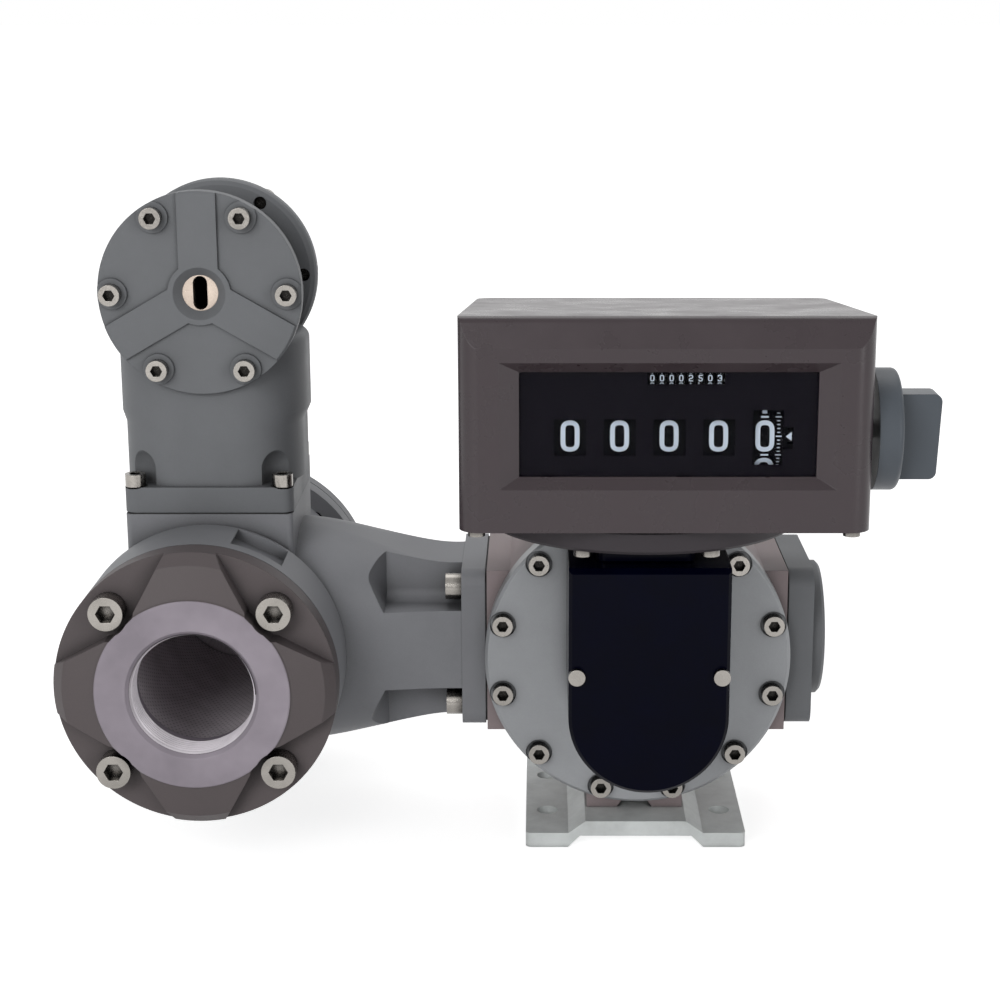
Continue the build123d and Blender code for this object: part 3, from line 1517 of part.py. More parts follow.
# Everything that is kept, by name
pieces = {
    "base_bracket": base_bracket,
    "base_screws": base_screws,
    "meter_body": meter_body,
    "front_plate": front_plate,
    "rear_plate": rear_plate,
    "plate_screws": plate_screws,
    "plate_seals": plate_seals,
    "shaft_bushes": shaft_bushes,
    "shaft_seal": shaft_seal,
    "oval_gear_lower": oval_gear_lower,
    "oval_gear_upper": oval_gear_upper,
    "lower_gear_shaft": lower_gear_shaft,
    "upper_gear_shaft": upper_gear_shaft,
    "drive_pinion": drive_pinion,
    "idler_gear": idler_gear,
    "idler_spindle": idler_spindle,
    "cross_gears": cross_gears,
    "cross_shaft": cross_shaft,
    "vertical_bevels": vertical_bevels,
    "vertical_shaft": vertical_shaft,
    "train_bracket": train_bracket,
    "gear_cover": gear_cover,
    "outlet_flange": outlet_flange,
    "strainer_body": strainer_body,
    "inlet_flange": inlet_flange,
    "strainer_cover": strainer_cover,
    "strainer_screws": strainer_screws,
    "port_screws": port_screws,
    "strainer_basket": strainer_basket,
    "vent_column": vent_column,
    "column_screws": column_screws,
    "vent_front_cover": vent_front_cover,
    "vent_insert": vent_insert,
    "vent_rear_cover": vent_rear_cover,
    "vent_cover_screws": vent_cover_screws,
    "lever_pin": lever_pin,
    "float_lever": float_lever,
    "float_ball": float_ball,
    "flange_gaskets": flange_gaskets,
    "adapter_disc": adapter_disc,
    "adapter_screws": adapter_screws,
    "register_housing": register_housing,
    "register_window": register_window,
    "dial_plate": dial_plate,
    "register_frame": register_frame,
    "small_screws": small_screws,
    "counter_spindles": counter_spindles,
    "number_wheel_1": number_wheel_1,
    "number_wheel_2": number_wheel_2,
    "number_wheel_3": number_wheel_3,
    "number_wheel_4": number_wheel_4,
    "number_wheel_5": number_wheel_5,
    "transfer_pinion_1": transfer_pinion_1,
    "transfer_pinions": transfer_pinions,
    "totalizer_wheels": totalizer_wheels,
    "totalizer_first_wheel": totalizer_first_wheel,
    "counter_gears": counter_gears,
    "counter_shaft": counter_shaft,
    "reset_shaft": reset_shaft,
    "reset_knob": reset_knob,
}

os.makedirs("parts", exist_ok=True)
for name, piece in pieces.items():
    piece.part.label = name
    export_step(piece.part, f"parts/{name}.step")
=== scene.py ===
import json
from math import cos, pi, radians, sin

import bmesh
import bpy
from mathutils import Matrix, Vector


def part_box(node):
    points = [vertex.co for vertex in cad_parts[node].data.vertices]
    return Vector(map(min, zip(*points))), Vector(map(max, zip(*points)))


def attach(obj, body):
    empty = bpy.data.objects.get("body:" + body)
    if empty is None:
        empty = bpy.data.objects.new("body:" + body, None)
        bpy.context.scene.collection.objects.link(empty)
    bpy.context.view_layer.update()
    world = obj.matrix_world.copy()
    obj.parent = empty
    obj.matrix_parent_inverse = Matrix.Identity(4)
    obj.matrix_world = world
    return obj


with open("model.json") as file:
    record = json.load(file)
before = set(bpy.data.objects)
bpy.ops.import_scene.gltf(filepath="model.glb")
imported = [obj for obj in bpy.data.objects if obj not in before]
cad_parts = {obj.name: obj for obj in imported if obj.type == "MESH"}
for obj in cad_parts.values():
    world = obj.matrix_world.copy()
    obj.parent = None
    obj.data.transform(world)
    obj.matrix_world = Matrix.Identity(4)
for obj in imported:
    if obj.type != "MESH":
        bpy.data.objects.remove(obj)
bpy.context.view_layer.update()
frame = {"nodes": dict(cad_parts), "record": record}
nodes = frame["nodes"]

MM = 0.001

# Camera: looking down a little, with a small shift that the photograph's framing needs
CAMERA_PLACE = (-0.0476, -1.0, 0.4114)
CAMERA_PITCH = 13.85
CAMERA_LENS = 73.44
CAMERA_SHIFT = -0.04

# Soft lights, all aimed at the middle: name, place, size and power
MIDDLE = (-0.07, 0.0, 0.15)
LAMPS = [
    ("key_light", (-0.8, -1.6, 0.85), (0.9, 0.8), 14),
    ("side_light", (1.0, -1.3, 0.5), (0.5, 0.9), 5),
    ("top_light", (0.0, 0.6, 1.5), (1.4, 1.0), 7),
]
WORLD_LIGHT = 0.2

# Floor: its own light grows from the lift to full between the two distances from the middle
FLOOR_SIZE = 30.0
FLOOR_DROP = 0.0004
FLOOR_LIFT = 0.74
FLOOR_FADE = (0.35, 1.1)

# Pipe threads in the two flanges, in millimetres; the half widths are shares of the pitch
FLOW_Z = 98.4
STRAINER_X = -208.3
INLET_Y = -108.0
OUTLET_X = 94.0
THREAD_RADIUS = 29.3
THREAD_PITCH = 2.2
THREAD_DEPTH = 1.1
THREAD_GAP = 0.03
ROOT_HALF_WIDTH = 0.46
CREST_HALF_WIDTH = 0.05
THREAD_START = 1.4
THREAD_STEPS = 72
INLET_THREAD_LENGTH = 17.0
OUTLET_THREAD_LENGTH = 13.5

# Bare metal on the inlet and holes in the basket
INLET_RING_EDGE = 45.4
INLET_RING_SKIN = 0.4
INLET_MOUTH_EDGE = 31.2
BASKET_HOLES = 96
HOLE_PITCH = 2.6

# Number wheels, with the units wheel first
WHEEL_Y = -102.5
WHEEL_Z = 223.2
WHEEL_RADIUS = 27.0
WHEEL_XS = [51.9 - 21.6 * k for k in range(5)]
WINDOW_Z = 225.4
UNITS_SHIFT = 1.4
TICK_PLACE = 4.6
TICK_COUNT = 100
PRINT_HEIGHT = 0.06

# Figures: height, width and line; bars: width and height
LARGE_FIGURE = (14.0, 8.3, 2.1)
SMALL_FIGURE = (3.0, 1.9, 0.5)
FIGURE_ROUNDING = 0.45
ARC_STEPS = 5
DASH = (3.4, 0.8)
LONG_TICK = (2.6, 0.55)
SHORT_TICK = (1.3, 0.45)

# Totalizer and the pointer beside the units window
TOTALIZER_X = 15.6
TOTALIZER_PITCH = 4.18
TOTALIZER_READING = [0, 0, 0, 0, 2, 5, 0, 3]
TOTALIZER_COUNT = len(TOTALIZER_READING)
DIAL_FRONT = -132.5
POINTER_TIP = 59.2
POINTER_Z = WINDOW_Z + 0.6
POINTER_LENGTH = 2.6
POINTER_HALF_HEIGHT = 2.0
POINTER_LIFT = 0.12

# Finishes: height of tool marks and rounding that the shading gives to edges, in metres
TOOL_MARKS = 0.00002
SOFT_EDGE = 0.0003
SOFT_CAST_EDGE = 0.0006

# Stretches the tool marks of shafts along the y axis
ALONG_SHAFT = (1.0, 0.1, 1.0)


def srgb(red, green, blue):
    """A screen colour from 0 to 255 as linear values."""
    values = []
    for v in (red, green, blue):
        v = v / 255
        values.append(v / 12.92 if v <= 0.04045 else ((v + 0.055) / 1.055) ** 2.4)
    return (*values, 1.0)


def shade(colour, factor):
    return (*[min(1.0, c * factor) for c in colour[:3]], 1.0)


# Materials


class Finish:
    """A node material with a principled shader and shortcuts for the nodes it needs."""

    def __init__(self, name):
        self.material = bpy.data.materials.new(name)
        self.material.use_nodes = True
        self.tree = self.material.node_tree
        self.shader = self.tree.nodes["Principled BSDF"]
        self.place = self.add("ShaderNodeTexCoord").outputs["Object"]

    def add(self, kind, **values):
        node = self.tree.nodes.new(kind)
        for key, value in values.items():
            setattr(node, key, value)
        return node

    def link(self, source, target):
        self.tree.links.new(source, target)

    def noise(self, scale, detail=4.0, roughness=0.6, stretch=None):
        node = self.add("ShaderNodeTexNoise")
        node.inputs["Scale"].default_value = scale
        node.inputs["Detail"].default_value = detail
        node.inputs["Roughness"].default_value = roughness
        source = self.place
        if stretch:
            mapping = self.add("ShaderNodeMapping")
            mapping.inputs["Scale"].default_value = stretch
            self.link(self.place, mapping.inputs["Vector"])
            source = mapping.outputs["Vector"]
        self.link(source, node.inputs["Vector"])
        return node.outputs["Fac"]

    def ramp(self, source, stops):
        node = self.add("ShaderNodeValToRGB")
        elements = node.color_ramp.elements
        elements[0].position, elements[0].color = stops[0]
        elements[1].position, elements[1].color = stops[-1]
        for position, colour in stops[1:-1]:
            element = elements.new(position)
            element.color = colour
        self.link(source, node.inputs["Fac"])
        return node.outputs["Color"]

    def scaled(self, source, low, high, start=0.3, end=0.7):
        node = self.add("ShaderNodeMapRange")
        node.inputs["From Min"].default_value = start
        node.inputs["From Max"].default_value = end
        node.inputs["To Min"].default_value = low
        node.inputs["To Max"].default_value = high
        self.link(source, node.inputs["Value"])
        return node.outputs["Result"]

    def math(self, operation, first, second=None):
        node = self.add("ShaderNodeMath", operation=operation)
        for socket, value in zip(node.inputs, (first, second)):
            if value is None:
                continue
            if isinstance(value, (int, float)):
                socket.default_value = value
            else:
                self.link(value, socket)
        return node.outputs[0]

    def length(self, first, second):
        squares = [self.math("MULTIPLY", value, value) for value in (first, second)]
        return self.math("SQRT", self.math("ADD", *squares))

    def mix(self, factor, first, second):
        node = self.add("ShaderNodeMix", data_type="RGBA")
        self.link(factor, node.inputs["Factor"])
        for socket, value in zip((node.inputs[6], node.inputs[7]), (first, second)):
            if isinstance(value, tuple):
                socket.default_value = value
            else:
                self.link(value, socket)
        return node.outputs[2]

    def bump(self, source, distance, soft_edge):
        node = self.add("ShaderNodeBump")
        node.inputs["Distance"].default_value = distance
        self.link(source, node.inputs["Height"])
        edge = self.add("ShaderNodeBevel", samples=4)
        edge.inputs["Radius"].default_value = soft_edge
        self.link(edge.outputs["Normal"], node.inputs["Normal"])
        self.link(node.outputs["Normal"], self.shader.inputs["Normal"])

    def corner_shade(self, distance, low=0.25, high=0.85):
        """Factor for painted shade: 0 deep in a corner or close to another part, 1 on an open surface.
        """
        node = self.add("ShaderNodeAmbientOcclusion", samples=4)
        node.inputs["Distance"].default_value = distance
        return self.scaled(node.outputs["AO"], 0.0, 1.0, low, high)

    def axis(self, name):
        node = self.add("ShaderNodeSeparateXYZ")
        self.link(self.place, node.inputs[0])
        return node.outputs[name]

    def set(self, **values):
        for key, value in values.items():
            socket = self.shader.inputs[key.replace("_", " ")]
            if isinstance(value, (int, float, tuple)):
                socket.default_value = value
            else:
                self.link(value, socket)


def cast_paint(name, colour, grain=0.00007, gloss=0.52, variation=0.10, metal=0.0, shade_reach=0.008):
    """Paint over a sand casting: cloudy colour, a fine skin, soft edges, and painted shade that darkens
    corners and places near other parts.
    """
    finish = Finish(name)
    finish.shader.inputs["Specular IOR Level"].default_value = 0.3
    clouds = finish.noise(28.0, 6.0)
    base = finish.ramp(
        clouds,
        [(0.30, shade(colour, 1 - variation)), (0.52, colour), (0.75, shade(colour, 1 + variation))],
    )
    fine = finish.noise(2600.0, 2.0)
    dots = finish.ramp(fine, [(0.35, shade(colour, 0.88)), (0.65, shade(colour, 1.12))])
    skin = finish.noise(700.0, 5.0, 0.7)
    speckled = finish.mix(finish.scaled(skin, 0.0, 0.4), base, dots)
    finish.set(
        # Painted shade: corners and places near other parts are darkened to 30 % of the colour
        Base_Color=finish.mix(finish.corner_shade(shade_reach), shade(colour, 0.30), speckled),
        Roughness=finish.scaled(clouds, gloss - 0.06, gloss + 0.10),
        Metallic=metal,
    )
    finish.bump(skin, grain, SOFT_CAST_EDGE)
    return finish


def machined(
    name,
    colour,
    rough=0.3,
    stretch=(1.0, 1.0, 1.0),
    metal=1.0,
    shade_reach=0.004,
    corner=(0.25, 0.85),
):
    """Bare metal with fine tool marks, and painted shade that darkens corners and sockets."""
    finish = Finish(name)
    marks = finish.noise(900.0, 3.0, 0.6, stretch)
    clouds = finish.noise(60.0, 4.0)
    base = finish.ramp(clouds, [(0.3, shade(colour, 0.82)), (0.55, colour), (0.8, shade(colour, 1.12))])
    finish.set(
        # Painted shade: corners and sockets are darkened nearly to black, fading in between the two
        # corner levels
        Base_Color=finish.mix(finish.corner_shade(shade_reach, *corner), shade(colour, 0.05), base),
        Metallic=metal,
        Roughness=finish.scaled(marks, rough - 0.08, rough + 0.12),
    )
    finish.bump(marks, TOOL_MARKS, SOFT_EDGE)
    return finish


def moulded(name, colour, rough=0.45, grain=0.00003, variation=0.06, shine=0.5):
    """Paint or plastic with a smooth skin."""
    finish = Finish(name)
    finish.shader.inputs["Specular IOR Level"].default_value = shine
    clouds = finish.noise(45.0, 4.0)
    finish.set(
        Base_Color=finish.ramp(
            clouds, [(0.3, shade(colour, 1 - variation)), (0.7, shade(colour, 1 + variation))]
        ),
        Roughness=finish.scaled(clouds, rough - 0.05, rough + 0.08),
    )
    finish.bump(finish.noise(1500.0, 3.0), grain, SOFT_EDGE)
    return finish


def from_strainer_axis(finish):
    """How far a point lies east of and above the axis of the strainer."""
    east = finish.math("SUBTRACT", finish.axis("X"), STRAINER_X * MM)
    up = finish.math("SUBTRACT", finish.axis("Z"), FLOW_Z * MM)
    return east, up


def inlet_casting():
    """Painted casting whose raised ring and mouth are machined bare."""
    finish = cast_paint("inlet_finish", srgb(90, 83, 84))
    painted = finish.shader.inputs["Base Color"].links[0].from_socket
    east, up = from_strainer_axis(finish)
    radius = finish.length(east, up)
    inside = finish.math("LESS_THAN", radius, INLET_RING_EDGE * MM)
    front = finish.math("LESS_THAN", finish.axis("Y"), (INLET_Y + INLET_RING_SKIN) * MM)
    bore = finish.math("LESS_THAN", radius, INLET_MOUTH_EDGE * MM)
    bare = finish.math("MAXIMUM", finish.math("MULTIPLY", inside, front), bore)
    clouds = finish.noise(40.0, 3.0)
    steel = finish.ramp(clouds, [(0.3, srgb(136, 129, 137)), (0.7, srgb(154, 146, 155))])
    finish.set(
        Base_Color=finish.mix(bare, painted, steel),
        Metallic=finish.math("MULTIPLY", bare, 0.3),
    )
    return finish


def perforated_steel():
    """Sheet with a fine pattern of round holes, drawn round the basket's axis."""
    finish = machined("basket_finish", srgb(205, 198, 203), rough=0.45, metal=0.1, shade_reach=0.002)
    sheet = finish.shader.inputs["Base Color"].links[0].from_socket
    east, up = from_strainer_axis(finish)
    around = finish.math("MULTIPLY", finish.math("ARCTAN2", up, east), BASKET_HOLES / (2 * pi))
    along = finish.math("DIVIDE", finish.axis("Y"), HOLE_PITCH * MM)
    row = finish.math("FLOOR", along)
    staggered = finish.math("ADD", around, finish.math("MULTIPLY", row, 0.5))
    across = finish.math("SUBTRACT", finish.math("FRACT", staggered), 0.5)
    down = finish.math("SUBTRACT", finish.math("FRACT", along), 0.5)
    away = finish.length(across, down)
    metal = finish.scaled(away, 0.55, 1.0, 0.16, 0.26)
    finish.set(Base_Color=finish.mix(metal, (0.02, 0.02, 0.02, 1.0), sheet))
    return finish


def window_finish():
    """Thin clear glass that lets the light through and keeps only its gloss."""
    finish = Finish("window_finish")
    clear = finish.add("ShaderNodeBsdfTransparent")
    gloss = finish.add("ShaderNodeBsdfGlossy")
    smudge = finish.noise(30.0, 3.0)
    finish.link(finish.scaled(smudge, 0.02, 0.08), gloss.inputs["Roughness"])
    edge = finish.add("ShaderNodeFresnel")
    edge.inputs["IOR"].default_value = 1.1
    blend = finish.add("ShaderNodeMixShader")
    finish.link(edge.outputs[0], blend.inputs[0])
    finish.link(clear.outputs[0], blend.inputs[1])
    finish.link(gloss.outputs[0], blend.inputs[2])
    output = finish.tree.nodes["Material Output"]
    finish.link(blend.outputs[0], output.inputs["Surface"])
    return finish


# Painted shade in corners and near other parts reaches furthest on the strainer, the vents and the
# outlet, and is deepest in the screws' sockets
finishes = {
    "base_paint": machined("base_finish", srgb(212, 216, 215), rough=0.45, metal=0.15, shade_reach=0.003),
    "body_casting": cast_paint("body_finish", srgb(150, 137, 138)),
    "plate_casting": cast_paint("plate_finish", srgb(156, 158, 161), gloss=0.36, metal=0.25),
    "strainer_casting": cast_paint("strainer_finish", srgb(138, 139, 143), shade_reach=0.02),
    "inlet_casting": inlet_casting(),
    "outlet_casting": cast_paint("outlet_finish", srgb(118, 120, 123), shade_reach=0.015),
    "vent_casting": cast_paint("vent_finish", srgb(114, 116, 119), shade_reach=0.02),
    "bright_screw": machined(
        "screw_finish", srgb(150, 146, 141), rough=0.22, shade_reach=0.005, corner=(0.5, 0.95)
    ),
    "shaft_steel": machined("shaft_finish", srgb(170, 170, 170), rough=0.2, stretch=ALONG_SHAFT),
    "gear_steel": machined("gear_finish", srgb(160, 160, 162), rough=0.3),
    "rotor_steel": machined("rotor_finish", srgb(150, 150, 154), rough=0.28, stretch=ALONG_SHAFT),
    "bush_brass": machined("bush_finish", srgb(190, 150, 84), rough=0.3),
    "insert_steel": machined("insert_finish", srgb(186, 172, 160), rough=0.3),
    "seal_rubber": moulded("seal_finish", srgb(24, 24, 24), rough=0.6),
    "basket_steel": perforated_steel(),
    "float_steel": machined("float_finish", srgb(175, 175, 175), rough=0.25),
    "black_paint": moulded(
        "cover_finish", srgb(1, 2, 18), rough=0.2, grain=0.00001, variation=0.2, shine=0.05
    ),
    "disc_casting": cast_paint("disc_finish", srgb(48, 43, 47)),
    "register_paint": moulded(
        "register_finish", srgb(56, 46, 50), rough=0.28, grain=0.00003, variation=0.04, shine=0.4
    ),
    "window_glass": window_finish(),
    "dial_paint": moulded(
        "dial_finish", srgb(18, 16, 23), rough=0.5, grain=0.00002, variation=0.03, shine=0.0
    ),
    "wheel_plastic": moulded("wheel_finish", srgb(1, 1, 4), rough=0.4, shine=0.02),
    "totalizer_plastic": moulded("totalizer_finish", srgb(4, 4, 6), rough=0.4, shine=0.02),
    "frame_steel": machined("frame_finish", srgb(140, 140, 140), rough=0.35),
    "knob_paint": cast_paint("knob_finish", srgb(80, 86, 93), grain=0.00003, gloss=0.36, variation=0.05),
}
figure_white = moulded("figure_finish", srgb(206, 218, 232), rough=0.5, shine=0.1)
thread_finish = machined("thread_finish", srgb(222, 216, 222), rough=0.35, metal=0.2, shade_reach=0.0008)

for part in frame["record"]["subparts"]:
    mesh = nodes[part["node"]].data
    mesh.materials.clear()
    mesh.materials.append(finishes[part["material_slot"]].material)


# Small shapes that the solids leave to the looks


def new_piece(name, bm, body, finish):
    mesh = bpy.data.meshes.new(name)
    bm.normal_update()
    bm.to_mesh(mesh)
    bm.free()
    mesh.materials.append(finish.material)
    piece = bpy.data.objects.new(name, mesh)
    bpy.context.scene.collection.objects.link(piece)
    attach(piece, body)


def pipe_thread(name, place, length):
    """A V thread inside a bore, where place(radius, angle, depth) gives a point."""
    bm = bmesh.new()
    rows = int(length / THREAD_PITCH * THREAD_STEPS)
    root = THREAD_RADIUS - THREAD_GAP
    crest = THREAD_RADIUS - THREAD_DEPTH
    profile = [
        (root, -ROOT_HALF_WIDTH),
        (crest, -CREST_HALF_WIDTH),
        (crest, CREST_HALF_WIDTH),
        (root, ROOT_HALF_WIDTH),
    ]
    previous = None
    for k in range(rows + 1):
        angle = 2 * pi * k / THREAD_STEPS
        along = THREAD_START + THREAD_PITCH * k / THREAD_STEPS
        fade = min(1.0, k / THREAD_STEPS, (rows - k) / THREAD_STEPS)
        ring = []
        for full_reach, offset in profile:
            reach = root - (root - full_reach) * fade
            ring.append(bm.verts.new(place(reach, angle, along + offset * THREAD_PITCH)))
        if previous:
            for i in range(len(profile) - 1):
                bm.faces.new((previous[i], previous[i + 1], ring[i + 1], ring[i]))
        previous = ring
    new_piece(name, bm, "meter", thread_finish)


def inlet_point(radius, angle, depth):
    x = STRAINER_X + radius * cos(angle)
    z = FLOW_Z + radius * sin(angle)
    return Vector((x, INLET_Y + depth, z)) * MM


def outlet_point(radius, angle, depth):
    y = radius * cos(angle)
    z = FLOW_Z + radius * sin(angle)
    return Vector((OUTLET_X - depth, y, z)) * MM


pipe_thread("inlet_pipe_thread", inlet_point, INLET_THREAD_LENGTH)
pipe_thread("outlet_pipe_thread", outlet_point, OUTLET_THREAD_LENGTH)


def rounded_path(corners, radius, closed, step):
    """Points along straight runs with rounded corners."""
    points = [Vector(c) for c in corners]
    count = len(points)
    path = []
    for k, corner in enumerate(points):
        if not closed and k in (0, count - 1):
            path.append(corner)
            continue
        before = points[k - 1] - corner
        after = points[(k + 1) % count] - corner
        reach = min(radius, before.length / 2, after.length / 2)
        start = corner + before.normalized() * reach
        end = corner + after.normalized() * reach
        for i in range(ARC_STEPS + 1):
            t = i / ARC_STEPS
            path.append(start * (1 - t) ** 2 + corner * (2 * t * (1 - t)) + end * t**2)
    if closed:
        path.append(path[0])
    fine = [path[0]]
    for first, second in zip(path, path[1:]):
        parts = max(1, int((second - first).length / step))
        fine += [first.lerp(second, i / parts) for i in range(1, parts + 1)]
    return fine


def stroke(bm, corners, width, radius, closed, step):
    """A flat ribbon of one width along a rounded path."""
    path = rounded_path(corners, radius, closed, step)
    if closed:
        path = path[:-1]
    count = len(path)
    pairs = []
    for k, point in enumerate(path):
        before = path[k - 1] if closed or k else point
        after = path[(k + 1) % count] if closed or k < count - 1 else point
        direction = (after - before).normalized()
        side = Vector((-direction.y, direction.x)) * width / 2
        pairs.append([bm.verts.new((*(point + s), 0)) for s in (side, -side)])
    if closed:
        pairs.append(pairs[0])
    for first, second in zip(pairs, pairs[1:]):
        bm.faces.new((first[0], first[1], second[1], second[0]))


def figure_mesh(digit, height, width, line):
    """A figure of even strokes with round corners, centred on the origin, its height along y."""
    half_line = line / 2
    right = (width - line) / 2
    left = -right
    high = (height - line) / 2
    low = -high
    open_end = 0.5 * high
    sill = -0.2 * high
    stem = 0.4 * right
    loop = [(left, low), (right, low), (right, high), (left, high)]
    bow = [(left, open_end), (left, high), (right, high)]
    strokes = {
        0: [(loop, True)],
        1: [([(-0.5 * right, 0.7 * high), (0, high), (0, low - half_line)], False)],
        2: [(bow + [(right, 0), (left, sill), (left, low), (right + half_line, low)], False)],
        3: [
            (bow + [(right, low), (left, low), (left, -open_end)], False),
            ([(right - half_line, 0), (-0.3 * right, 0)], False),
        ],
        4: [
            ([(left, high + half_line), (left, sill), (right + half_line, sill)], False),
            ([(stem, 0.4 * high), (stem, sill + half_line)], False),
            ([(stem, sill - half_line), (stem, low - half_line)], False),
        ],
        5: [
            (
                [(right + half_line, high), (left, high), (left, 0.1 * high), (right, 0.1 * high)]
                + [(right, low), (left, low), (left, -open_end)],
                False,
            )
        ],
        6: [
            (
                [(right, open_end), (right, high), (left, high), (left, low)]
                + [(right, low), (right, 0), (left + half_line, 0)],
                False,
            )
        ],
        7: [
            ([(left - half_line, high), (right, high), (right, 0.4 * high), (0, low - half_line)], False)
        ],
        8: [(loop, True), ([(left + half_line, 0), (right - half_line, 0)], False)],
        9: [
            (
                [(left, -open_end), (left, low), (right, low), (right, high)]
                + [(left, high), (left, 0), (right - half_line, 0)],
                False,
            )
        ],
    }
    bm = bmesh.new()
    for corners, closed in strokes[digit]:
        stroke(bm, corners, line, FIGURE_ROUNDING * width, closed, half_line)
    bm.verts.index_update()
    return bm


def on_wheel(bm, source, middle_x, centre, radius, angle):
    """Copies a flat shape onto a wheel, where angle 0 is the front and grows upwards."""
    lookup = {}
    for v in source.verts:
        turn = angle + v.co.y / radius
        point = Vector(
            (
                middle_x + v.co.x,
                centre[0] - radius * cos(turn),
                centre[1] + radius * sin(turn),
            )
        )
        lookup[v.index] = bm.verts.new(point * MM)
    for face in source.faces:
        bm.faces.new([lookup[v.index] for v in face.verts])


def flat_bar(width, height):
    """A bar in two rows, so that it bends a little with the wheel."""
    bm = bmesh.new()
    levels = (-height / 2, 0, height / 2)
    pairs = [(bm.verts.new((-width / 2, y, 0)), bm.verts.new((width / 2, y, 0))) for y in levels]
    for low, high in zip(pairs, pairs[1:]):
        bm.faces.new((low[0], low[1], high[1], high[0]))
    bm.verts.index_update()
    return bm


large_figures = [figure_mesh(digit, *LARGE_FIGURE) for digit in range(10)]
small_figures = [figure_mesh(digit, *SMALL_FIGURE) for digit in range(10)]
dash = flat_bar(*DASH)
long_tick = flat_bar(*LONG_TICK)
short_tick = flat_bar(*SHORT_TICK)


def wheel_figures(name, body, middle_x, centre, radius, shapes, turn, units=False):
    """The ten figures round a number wheel; the units wheel also has dashes and ticks."""
    bm = bmesh.new()
    surface = radius + PRINT_HEIGHT
    figures_x = middle_x - UNITS_SHIFT if units else middle_x
    for k, shape in enumerate(shapes):
        angle = 2 * pi * k / 10 + turn
        on_wheel(bm, shape, figures_x, centre, surface, angle)
        if units:
            on_wheel(bm, dash, figures_x, centre, surface, angle + pi / 10)
    if units:
        for k in range(TICK_COUNT):
            mark = long_tick if k % 5 == 0 else short_tick
            angle = 2 * pi * k / TICK_COUNT + turn
            on_wheel(bm, mark, middle_x + TICK_PLACE, centre, surface, angle)
    new_piece(name, bm, body, figure_white)


# The line of sight through a window falls, so the figures are turned up to its middle
wheel_turn = (WINDOW_Z - WHEEL_Z) / WHEEL_RADIUS
for k, x in enumerate(WHEEL_XS):
    wheel_figures(
        f"figures_{k + 1}",
        f"wheel_{k + 1}",
        x,
        (WHEEL_Y, WHEEL_Z),
        WHEEL_RADIUS,
        large_figures,
        wheel_turn,
        units=k == 0,
    )

small_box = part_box("totalizer_first_wheel")
totalizer_centre = (
    (small_box[0].y + small_box[1].y) / 2 / MM,
    (small_box[0].z + small_box[1].z) / 2 / MM,
)
totalizer_radius = (small_box[1].z - small_box[0].z) / 2 / MM
for k, reading in enumerate(TOTALIZER_READING):
    x = TOTALIZER_X + TOTALIZER_PITCH * (k - (TOTALIZER_COUNT - 1) / 2)
    wheel_figures(
        f"totalizer_figures_{k + 1}",
        "totalizer_1" if k == TOTALIZER_COUNT - 1 else "meter",
        x,
        totalizer_centre,
        totalizer_radius,
        small_figures,
        -2 * pi * reading / 10,
    )
for shape in (*large_figures, *small_figures, dash, long_tick, short_tick):
    shape.free()

# The pointer beside the units window
bm = bmesh.new()
base_x = POINTER_TIP + POINTER_LENGTH
corners = [
    (POINTER_TIP, POINTER_Z),
    (base_x, POINTER_Z + POINTER_HALF_HEIGHT),
    (base_x, POINTER_Z - POINTER_HALF_HEIGHT),
]
bm.faces.new([bm.verts.new(Vector((x, DIAL_FRONT - POINTER_LIFT, z)) * MM) for x, z in corners])
new_piece("dial_pointer", bm, "meter", figure_white)


# Floor, light and camera


def light_paths(tree):
    """1 for the rays that show the backdrop: those of the camera and of gloss and glass."""
    path = tree.nodes.new("ShaderNodeLightPath")
    both = tree.nodes.new("ShaderNodeMath")
    both.operation = "MAXIMUM"
    tree.links.new(path.outputs["Is Camera Ray"], both.inputs[0])
    tree.links.new(path.outputs["Is Glossy Ray"], both.inputs[1])
    every = tree.nodes.new("ShaderNodeMath")
    every.operation = "MAXIMUM"
    tree.links.new(both.outputs[0], every.inputs[0])
    tree.links.new(path.outputs["Is Transmission Ray"], every.inputs[1])
    return every.outputs[0]


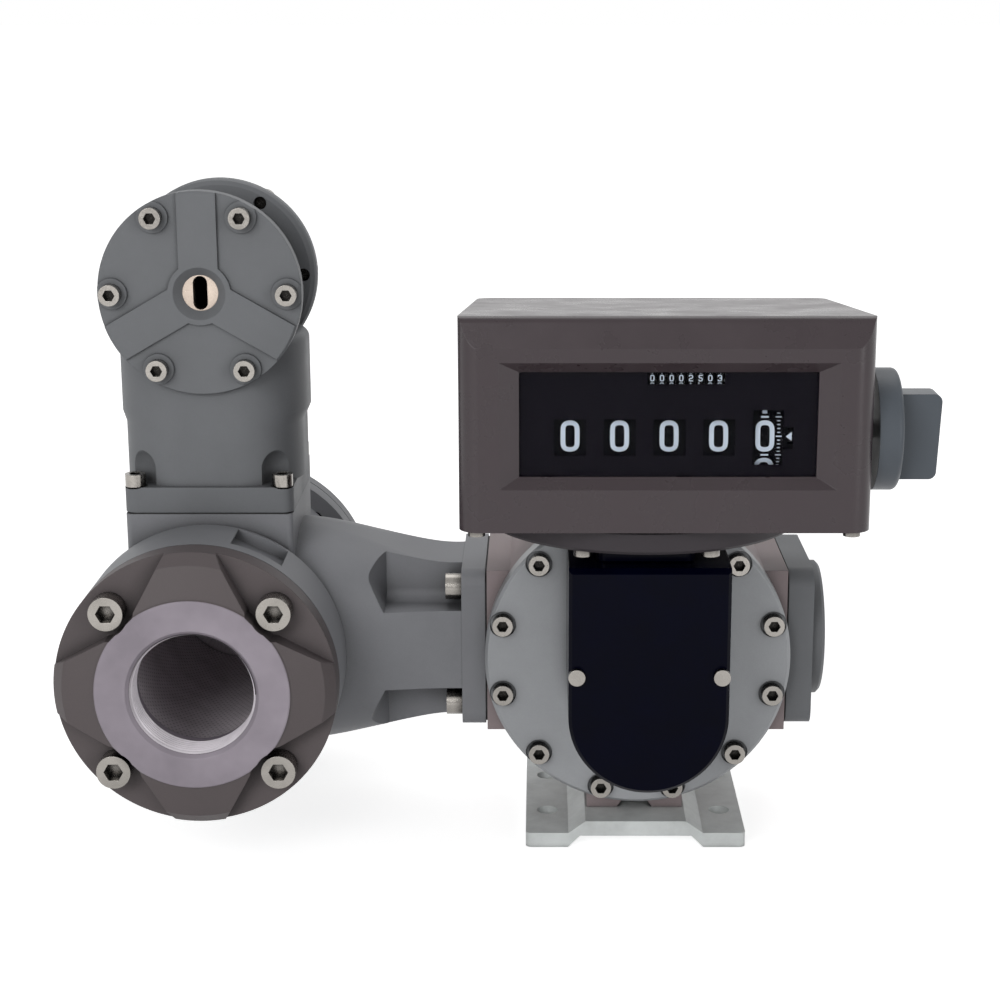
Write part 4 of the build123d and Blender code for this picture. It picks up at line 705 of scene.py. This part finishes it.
def stage_finish():
    """Pale floor that keeps the shadow near the object and is plain white further off."""
    finish = Finish("floor_finish")
    clouds = finish.noise(3.0, 2.0)
    finish.set(
        Base_Color=finish.ramp(clouds, [(0.3, (0.80, 0.80, 0.80, 1)), (0.7, (0.83, 0.83, 0.83, 1))]),
        Roughness=0.85,
    )
    finish.shader.inputs["Specular IOR Level"].default_value = 0.0
    distance = finish.add("ShaderNodeVectorMath", operation="LENGTH")
    finish.link(finish.place, distance.inputs[0])
    fading = finish.scaled(distance.outputs["Value"], FLOOR_LIFT, 1.0, *FLOOR_FADE)
    glow = finish.add("ShaderNodeEmission")
    finish.link(finish.math("MULTIPLY", fading, light_paths(finish.tree)), glow.inputs["Strength"])
    total = finish.add("ShaderNodeAddShader")
    finish.link(finish.shader.outputs[0], total.inputs[0])
    finish.link(glow.outputs[0], total.inputs[1])
    finish.link(total.outputs[0], finish.tree.nodes["Material Output"].inputs["Surface"])
    return finish


bm = bmesh.new()
bmesh.ops.create_grid(bm, x_segments=1, y_segments=1, size=FLOOR_SIZE)
floor_mesh = bpy.data.meshes.new("floor")
bm.to_mesh(floor_mesh)
bm.free()
floor_mesh.materials.append(stage_finish().material)
floor = bpy.data.objects.new("floor", floor_mesh)
floor.location = (0, 0, -FLOOR_DROP)
bpy.context.scene.collection.objects.link(floor)

world = bpy.data.worlds.new("studio")
bpy.context.scene.world = world
world.use_nodes = True
tree = world.node_tree
background = tree.nodes["Background"]
background.inputs["Color"].default_value = (1, 1, 1, 1)
background.inputs["Strength"].default_value = WORLD_LIGHT
plain = tree.nodes.new("ShaderNodeBackground")
plain.inputs["Color"].default_value = (1, 1, 1, 1)
plain.inputs["Strength"].default_value = 1.0
blend = tree.nodes.new("ShaderNodeMixShader")
tree.links.new(light_paths(tree), blend.inputs[0])
tree.links.new(background.outputs[0], blend.inputs[1])
tree.links.new(plain.outputs[0], blend.inputs[2])
tree.links.new(blend.outputs[0], tree.nodes["World Output"].inputs["Surface"])

for name, place, size, power in LAMPS:
    light = bpy.data.lights.new(name, "AREA")
    light.shape = "RECTANGLE"
    light.size, light.size_y = size
    light.energy = power
    lamp = bpy.data.objects.new(name, light)
    lamp.location = place
    direction = Vector(MIDDLE) - Vector(place)
    lamp.rotation_euler = direction.to_track_quat("-Z", "Y").to_euler()
    bpy.context.scene.collection.objects.link(lamp)

camera_data = bpy.data.cameras.new("camera")
camera_data.sensor_width = 36.0
camera_data.lens = CAMERA_LENS
camera_data.shift_x = CAMERA_SHIFT
camera_data.clip_start = 0.05
camera_data.clip_end = 100
camera = bpy.data.objects.new("camera", camera_data)
camera.location = CAMERA_PLACE
camera.rotation_euler = (radians(90 - CAMERA_PITCH), 0, 0)
bpy.context.scene.collection.objects.link(camera)
bpy.context.scene.camera = camera
bpy.context.scene.view_settings.view_transform = "Standard"
